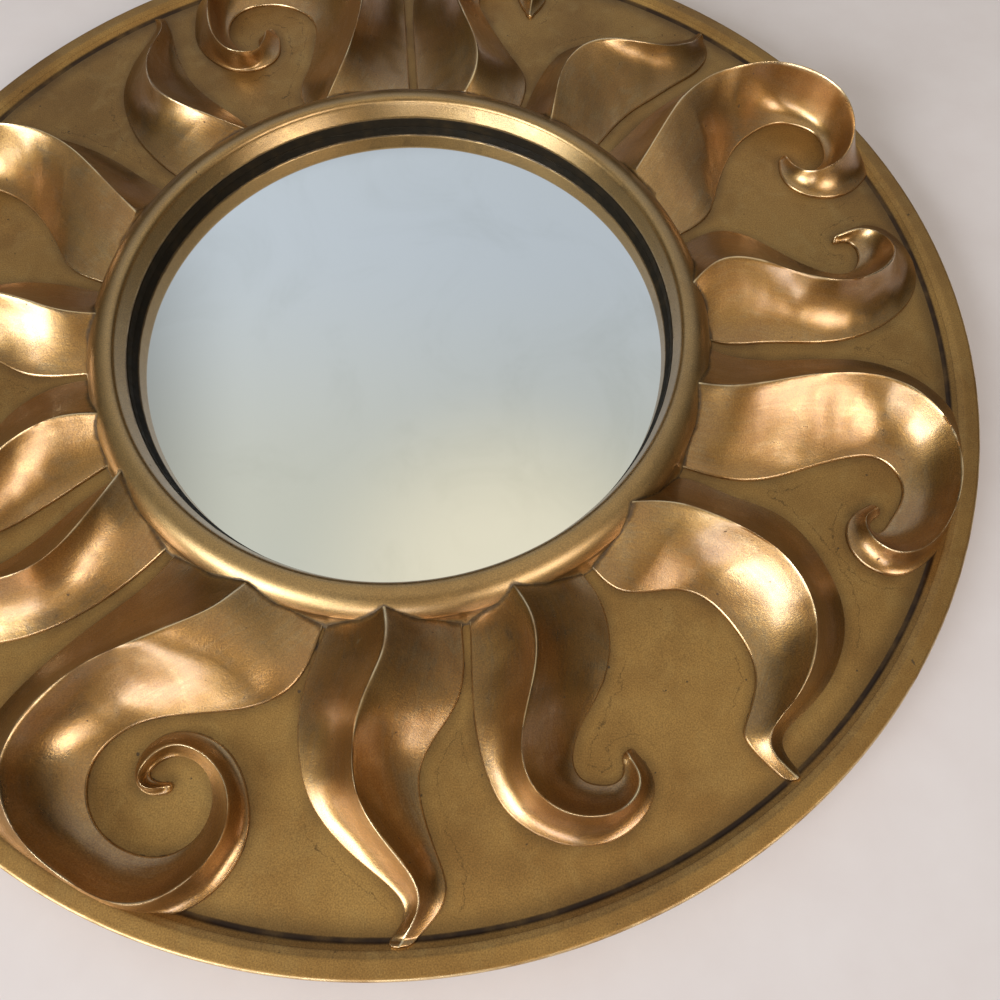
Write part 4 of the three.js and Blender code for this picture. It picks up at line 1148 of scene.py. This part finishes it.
def convex_glass():
    """The domed glass: one skin over the hollow back, the ground edge and the front."""
    radii = np.linspace(0, GLASS_RADIUS, GLASS_RINGS + 1)
    back = [(r, dome_height(GLASS_CURVE_RADIUS - GLASS_THICKNESS, r)) for r in radii[::6]]
    front = [(r, dome_height(GLASS_CURVE_RADIUS, r)) for r in radii[::-1]]
    return turned_solid("convex_glass", back + front, GLASS_SEGMENTS, sharp_angle=60)


fit(dress(convex_glass(), MIRROR_SILVER), "mirror_glass")

# ---------------- cushion, backing board and hardware

def cushion():
    """The felt strip between the glass and the backing board."""
    low, high = span_mm("cushion_ring")
    ease = 0.4
    radii = np.linspace(high.x - CUSHION_WIDTH, high.x, 7)
    outline = [(r, dome_height(GLASS_CURVE_RADIUS - GLASS_THICKNESS, r) - SEAT_GAP) for r in radii]
    outline += [(high.x - ease, low.z), (high.x - CUSHION_WIDTH + ease, low.z)]
    return turned_ring("felt_cushion", outline[::-1], CUSHION_SEGMENTS)


fit(dress(cushion(), FELT), "cushion_ring")


def backing_board():
    """A pressed board disc with its cut edge eased."""
    ease, step = 0.5, 12
    outline = [(0, BOARD_BOTTOM_Z)]
    outline += stretch((step, BOARD_BOTTOM_Z), (BOARD_RADIUS - ease, BOARD_BOTTOM_Z), step)
    outline += arc(BOARD_RADIUS - ease, BOARD_BOTTOM_Z + ease, ease, -90, 0, 3)
    outline += arc(BOARD_RADIUS - ease, BOARD_TOP_Z - ease, ease, 0, 90, 3)
    outline += stretch((BOARD_RADIUS - step / 2, BOARD_TOP_Z), (step, BOARD_TOP_Z), step) + [(0, BOARD_TOP_Z)]
    return turned_solid("pressed_backing_board", outline, BOARD_SEGMENTS)


fit(dress(backing_board(), HARDBOARD), "backing_board")


def middle_of(node):
    """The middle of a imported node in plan."""
    low, high = span_mm(node)
    return (low.x + high.x) / 2, (low.y + high.y) / 2


def cross_head_screw(node, material):
    """A round-headed screw seen from its head: crown, cross recess and plain shank."""
    low, high = span_mm(node)
    head_radius = (high.x - low.x) / 2
    head_top = low.z + SCREW_HEAD_HEIGHT
    crown_z = low.z + SCREW_CROWN_RISE
    crown = [(r, low.z + SCREW_CROWN_RISE * (r / SCREW_CROWN_RADIUS) ** 2)
             for r in np.linspace(0, SCREW_CROWN_RADIUS, 14)]
    bend = [(SCREW_CROWN_RADIUS + (head_radius - SCREW_CROWN_RADIUS) * math.sin(a),
             crown_z + (head_top - SCREW_HEAD_RIM_HEIGHT - crown_z) * (1 - math.cos(a)))
            for a in np.radians((22, 45, 68, 90))]
    shank = [(head_radius, head_top), (SCREW_SHAFT_RADIUS, head_top),
             (SCREW_SHAFT_RADIUS, high.z - SCREW_SHAFT_RADIUS), (0, high.z)]
    screw = turned_solid(f"cross_head_{node}", crown + bend + shank, SCREW_SEGMENTS)
    points = np.empty(len(screw.data.vertices) * 3)
    screw.data.vertices.foreach_get("co", points)
    points = points.reshape(-1, 3) / MM
    off_arm = np.abs(points[:, :2]).min(axis=1)
    reach = np.abs(points[:, :2]).max(axis=1)
    inside = np.clip((RECESS_WIDTH - off_arm) / RECESS_SIDE_RUN, 0, 1)
    inside *= np.clip((RECESS_REACH - reach) / RECESS_END_RUN, 0, 1)
    inside *= points[:, 2] < crown_z + 0.01
    points[:, 2] += inside * RECESS_DEPTH
    points += (*middle_of(node), 0.0)
    screw.data.vertices.foreach_set("co", (points * MM).ravel())
    screw.data.update()
    return fit(dress(screw, material), node)


def turn_button(node, number):
    """A flat bar with round ends and eased edges, turned to point at the mirror's middle."""
    low, high = span_mm(node)
    screw_place = np.array(middle_of(f"turn_button_screw_{number + 1:02d}"))
    half, ease = BUTTON_WIDTH / 2, BUTTON_EDGE_ROUND
    ends = arc(BUTTON_LENGTH - BUTTON_SCREW_INSET - half, 0, half, -90, 90, 24)
    ends += arc(half - BUTTON_SCREW_INSET, 0, half, 90, 270, 24)
    hole_angles = np.radians(np.arange(len(ends)) * 360 / len(ends) - 90)
    spokes = []
    for (x, y), angle in zip(ends, hole_angles):
        shrink = 1 - ease / math.hypot(x, y)
        hole = (SCREW_HOLE_RADIUS * math.cos(angle), SCREW_HOLE_RADIUS * math.sin(angle))
        inset = (x * shrink, y * shrink)
        spokes += [(*hole, low.z), (*inset, low.z), (x, y, low.z + ease), (x, y, high.z - ease),
                   (*inset, high.z), (*hole, high.z)]
    points = np.array(spokes)
    inward = math.radians(45 + 90 * number) + math.pi
    turn = np.array(((math.cos(inward), math.sin(inward)), (-math.sin(inward), math.cos(inward))))
    points[:, :2] = screw_place + points[:, :2] @ turn
    button = add_mesh(f"brass_{node}", points, ring_faces(len(ends), 6), sharp_angle=35)
    return fit(dress(button, BRASS), node, f"button_{number + 1:02d}")


def bumper(node):
    """A round rubber foot with soft edges and a well for its screw."""
    low, high = span_mm(node)
    radius, seat = (high.x - low.x) / 2, (low.z + high.z) / 2
    edge_round, ease = 1, 0.4
    outline = arc(radius - edge_round, low.z + edge_round, edge_round, -90, 0, 5)
    outline += arc(radius - ease, high.z - ease, ease, 0, 90, 3)
    outline += [(SCREW_HOLE_RADIUS, high.z), (SCREW_HOLE_RADIUS, seat), (BUMPER_WELL_RADIUS, seat)]
    outline += arc(BUMPER_WELL_RADIUS + ease, low.z + ease, ease, 180, 270, 3)
    piece = turned_ring(f"rubber_{node}", outline, BUMPER_SEGMENTS, middle_of(node))
    return fit(dress(piece, RUBBER), node)


def swept(name, path, across, section, closed):
    """A section carried along a path: across is the direction that stays square to the path's plane."""
    path, across = np.array(path, float), np.array(across, float)
    ahead = np.roll(path, -1, axis=0) - np.roll(path, 1, axis=0)
    if not closed:
        ahead[0], ahead[-1] = path[1] - path[0], path[-1] - path[-2]
    ahead /= np.linalg.norm(ahead, axis=1)[:, None]
    points = []
    for i, middle in enumerate(path):
        out = np.cross(ahead[i], across)
        points += [middle + across * a + out * b for a, b in section(i)]
    side = len(section(0))
    faces = [face[::-1] for face in ring_faces(len(path), side, closed_rings=closed)]
    if not closed:
        faces += end_caps(len(path), side)
    return add_mesh(name, points, faces, sharp_angle=40)


def hanging_strap(side):
    """A strap folded round the ring's bar, with a rounded tail."""
    node = f"strap_{side}"
    low, high = span_mm(node)
    eye_radius = (high.z - low.z - STRAP_THICKNESS) / 2
    eye_y, eye_z = high.y - eye_radius - STRAP_THICKNESS / 2, (high.z + low.z) / 2
    middle_x, half_width = (low.x + high.x) / 2, (high.x - low.x) / 2
    round_end = np.radians(np.arange(4, 90, 9))
    tail = [(y, eye_radius) for y in half_width * (1 - np.cos(round_end)) - STRAP_LENGTH]
    tail += stretch((half_width - STRAP_LENGTH, eye_radius), (0, eye_radius), 2)
    roll = arc(0, 0, eye_radius, 90, -135, 24)
    path = [(middle_x, eye_y + y, eye_z + z) for y, z in tail + roll]
    narrow = np.sin(round_end)

    def section(i):
        ease, thick = 0.3, STRAP_THICKNESS / 2
        half = half_width * (narrow[i] if i < len(narrow) else 1) - ease
        return ((half, -thick), (half + ease, 0), (half, thick),
                (-half, thick), (-half - ease, 0), (-half, -thick))

    strap = swept(f"folded_{node}", path, (1, 0, 0), section, False)
    fit(dress(strap, ZINC), node)
    return middle_x, eye_y, eye_z


def d_ring(side, middle_x, eye_y, eye_z):
    """The wire ring: a straight bar in the eye, two small corners and a half circle."""
    node = f"d_ring_{side}"
    low, high = span_mm(node)
    half = (high.x - low.x) / 2 - RING_WIRE_RADIUS
    corner = RING_CORNER_RADIUS
    arch_y = high.y - RING_WIRE_RADIUS - half - eye_y
    plan = stretch((0, 0), (half - corner, 0), 1.5) + arc(half - corner, corner, corner, -90, 0, 7)
    plan += arc(0, arch_y, half, 0, 180, 40) + arc(corner - half, corner, corner, 180, 270, 7)
    plan += stretch((corner - half, 0), (0, 0), 1.5)[1:]
    path = [(middle_x + x, eye_y + y, eye_z) for x, y in plan]
    wire = [(RING_WIRE_RADIUS * math.cos(a), RING_WIRE_RADIUS * math.sin(a))
            for a in np.radians(np.arange(0, 360, 22.5))]
    ring = swept(f"wire_{node}", path, (0, 0, 1), lambda i: wire, True)
    return fit(dress(ring, ZINC), node, f"ring_{side}")


for number in range(BUTTON_COUNT):
    turn_button(f"turn_button_{number + 1:02d}", number)
    cross_head_screw(f"turn_button_screw_{number + 1:02d}", BRASS)
    bumper(f"bumper_{number + 1:02d}")
    cross_head_screw(f"bumper_screw_{number + 1:02d}", ZINC)
for side in ("left", "right"):
    d_ring(side, *hanging_strap(side))
    for number in (1, 2):
        cross_head_screw(f"strap_screw_{side}_{number}", ZINC)

# ---------------- floor, lights and camera


def floor():
    """A plain pale floor under the bumpers."""
    reach = 14000
    corners = [(-reach, -reach, 0), (reach, -reach, 0), (reach, reach, 0), (-reach, reach, 0)]
    piece = add_mesh("pale_floor", corners, [(0, 1, 2, 3)])
    material, n, shader = new_material("pale_floor")
    place = n.place()
    colour = n.mix(n.noise(place, 30, 5), srgb(222, 210, 210), srgb(232, 223, 224))
    n.feed(shader.inputs["Base Color"], colour)
    shader.inputs["Roughness"].default_value = 0.9
    dress(piece, material)


floor()


def softbox(name, turn, rise, away, width, height, brightness, colour):
    """A soft light aimed at the mirror: turn and rise in degrees round it, sizes in metres."""
    turn, rise = math.radians(turn), math.radians(rise)
    level = math.cos(rise)
    place = Vector((math.cos(turn) * level, math.sin(turn) * level, math.sin(rise))) * away
    light = bpy.data.lights.new(name, "AREA")
    light.shape = "RECTANGLE"
    light.size, light.size_y = width, height
    light.energy = brightness * math.pi * width * height
    light.color = colour
    lamp = bpy.data.objects.new(name, light)
    bpy.context.scene.collection.objects.link(lamp)
    lamp.location = place
    lamp.rotation_euler = (-place).to_track_quat("-Z", "Y").to_euler()


softbox("left_window", -136, 26, 3.2, 1.7, 1.25, 12.0, (0.88, 0.96, 1.0))
softbox("front_window", -102, 19, 3.2, 1.4, 0.7, 6.5, (0.97, 0.98, 1.0))
softbox("right_window", -52, 34, 3.2, 1.25, 1.05, 7.5, (1.0, 0.94, 0.84))


OVERHEAD = (0.14, -0.08, 0.987)
DIM_WALL = srgb(44, 34, 24)


def room():
    """The room round the mirror: dim walls and a pale ceiling, cool past the top and warm over the foot."""
    world = bpy.data.worlds.new("pale_room")
    world.use_nodes = True
    bpy.context.scene.world = world
    tree = world.node_tree
    n = Nodes(tree)
    background = next(node for node in tree.nodes if node.type == "BACKGROUND")
    toward = n.add("ShaderNodeTexCoord").outputs["Generated"]
    across, up_plan, height = n.add("ShaderNodeSeparateXYZ", inputs={"Vector": toward}).outputs
    ceiling = n.mix(n.ramp(up_plan, 0.75, 0.1), srgb(198, 206, 214), srgb(203, 203, 190))
    ceiling = n.mix(1.0, ceiling, n.grey(n.ramp(across, -0.6, 0.45, 1.07, 0.92)), "MULTIPLY")
    off_spot = n.add("ShaderNodeVectorMath", operation="DISTANCE", inputs={0: toward, 1: OVERHEAD})
    ceiling = n.mix(n.ramp(off_spot.outputs["Value"], 0.55, 0.15), ceiling, srgb(240, 232, 208))
    aside = n.ramp(n.math("ABSOLUTE", across), 0.42, 0.75, 1.0, 0.35)
    ceiling = n.mix(1.0, ceiling, n.grey(aside), "MULTIPLY")
    colour = n.mix(n.ramp(height, 0.36, 0.52), DIM_WALL, ceiling)
    colour = n.mix(n.ramp(up_plan, -0.2, -0.5), colour, srgb(84, 70, 54))
    seen = n.add("ShaderNodeLightPath").outputs["Is Camera Ray"]
    colour = n.mix(seen, colour, srgb(236, 234, 232))
    n.feed(background.inputs["Color"], colour)
    background.inputs["Strength"].default_value = 1.0


room()

CAMERA_PLACE = Vector((48.13, -235.18, 365.86)) * MM
CAMERA_RIGHT = (0.999929, 0.0, 0.011882)
CAMERA_UP = (-0.004309, 0.931921, 0.362636)
CAMERA_BACK = (-0.011073, -0.362661, 0.931855)
CAMERA_LENS = 27.037


def camera():
    """The view that the photograph was taken from."""
    data = bpy.data.cameras.new("view")
    data.sensor_width = 36
    data.lens = CAMERA_LENS
    data.clip_start = 0.01
    eye = bpy.data.objects.new("view", data)
    bpy.context.scene.collection.objects.link(eye)
    turn = Matrix((CAMERA_RIGHT, CAMERA_UP, CAMERA_BACK)).transposed().to_4x4()
    eye.matrix_world = Matrix.Translation(CAMERA_PLACE) @ turn
    bpy.context.scene.camera = eye


camera()
bpy.context.scene.view_settings.view_transform = "Standard"

bpy.context.view_layer.update()
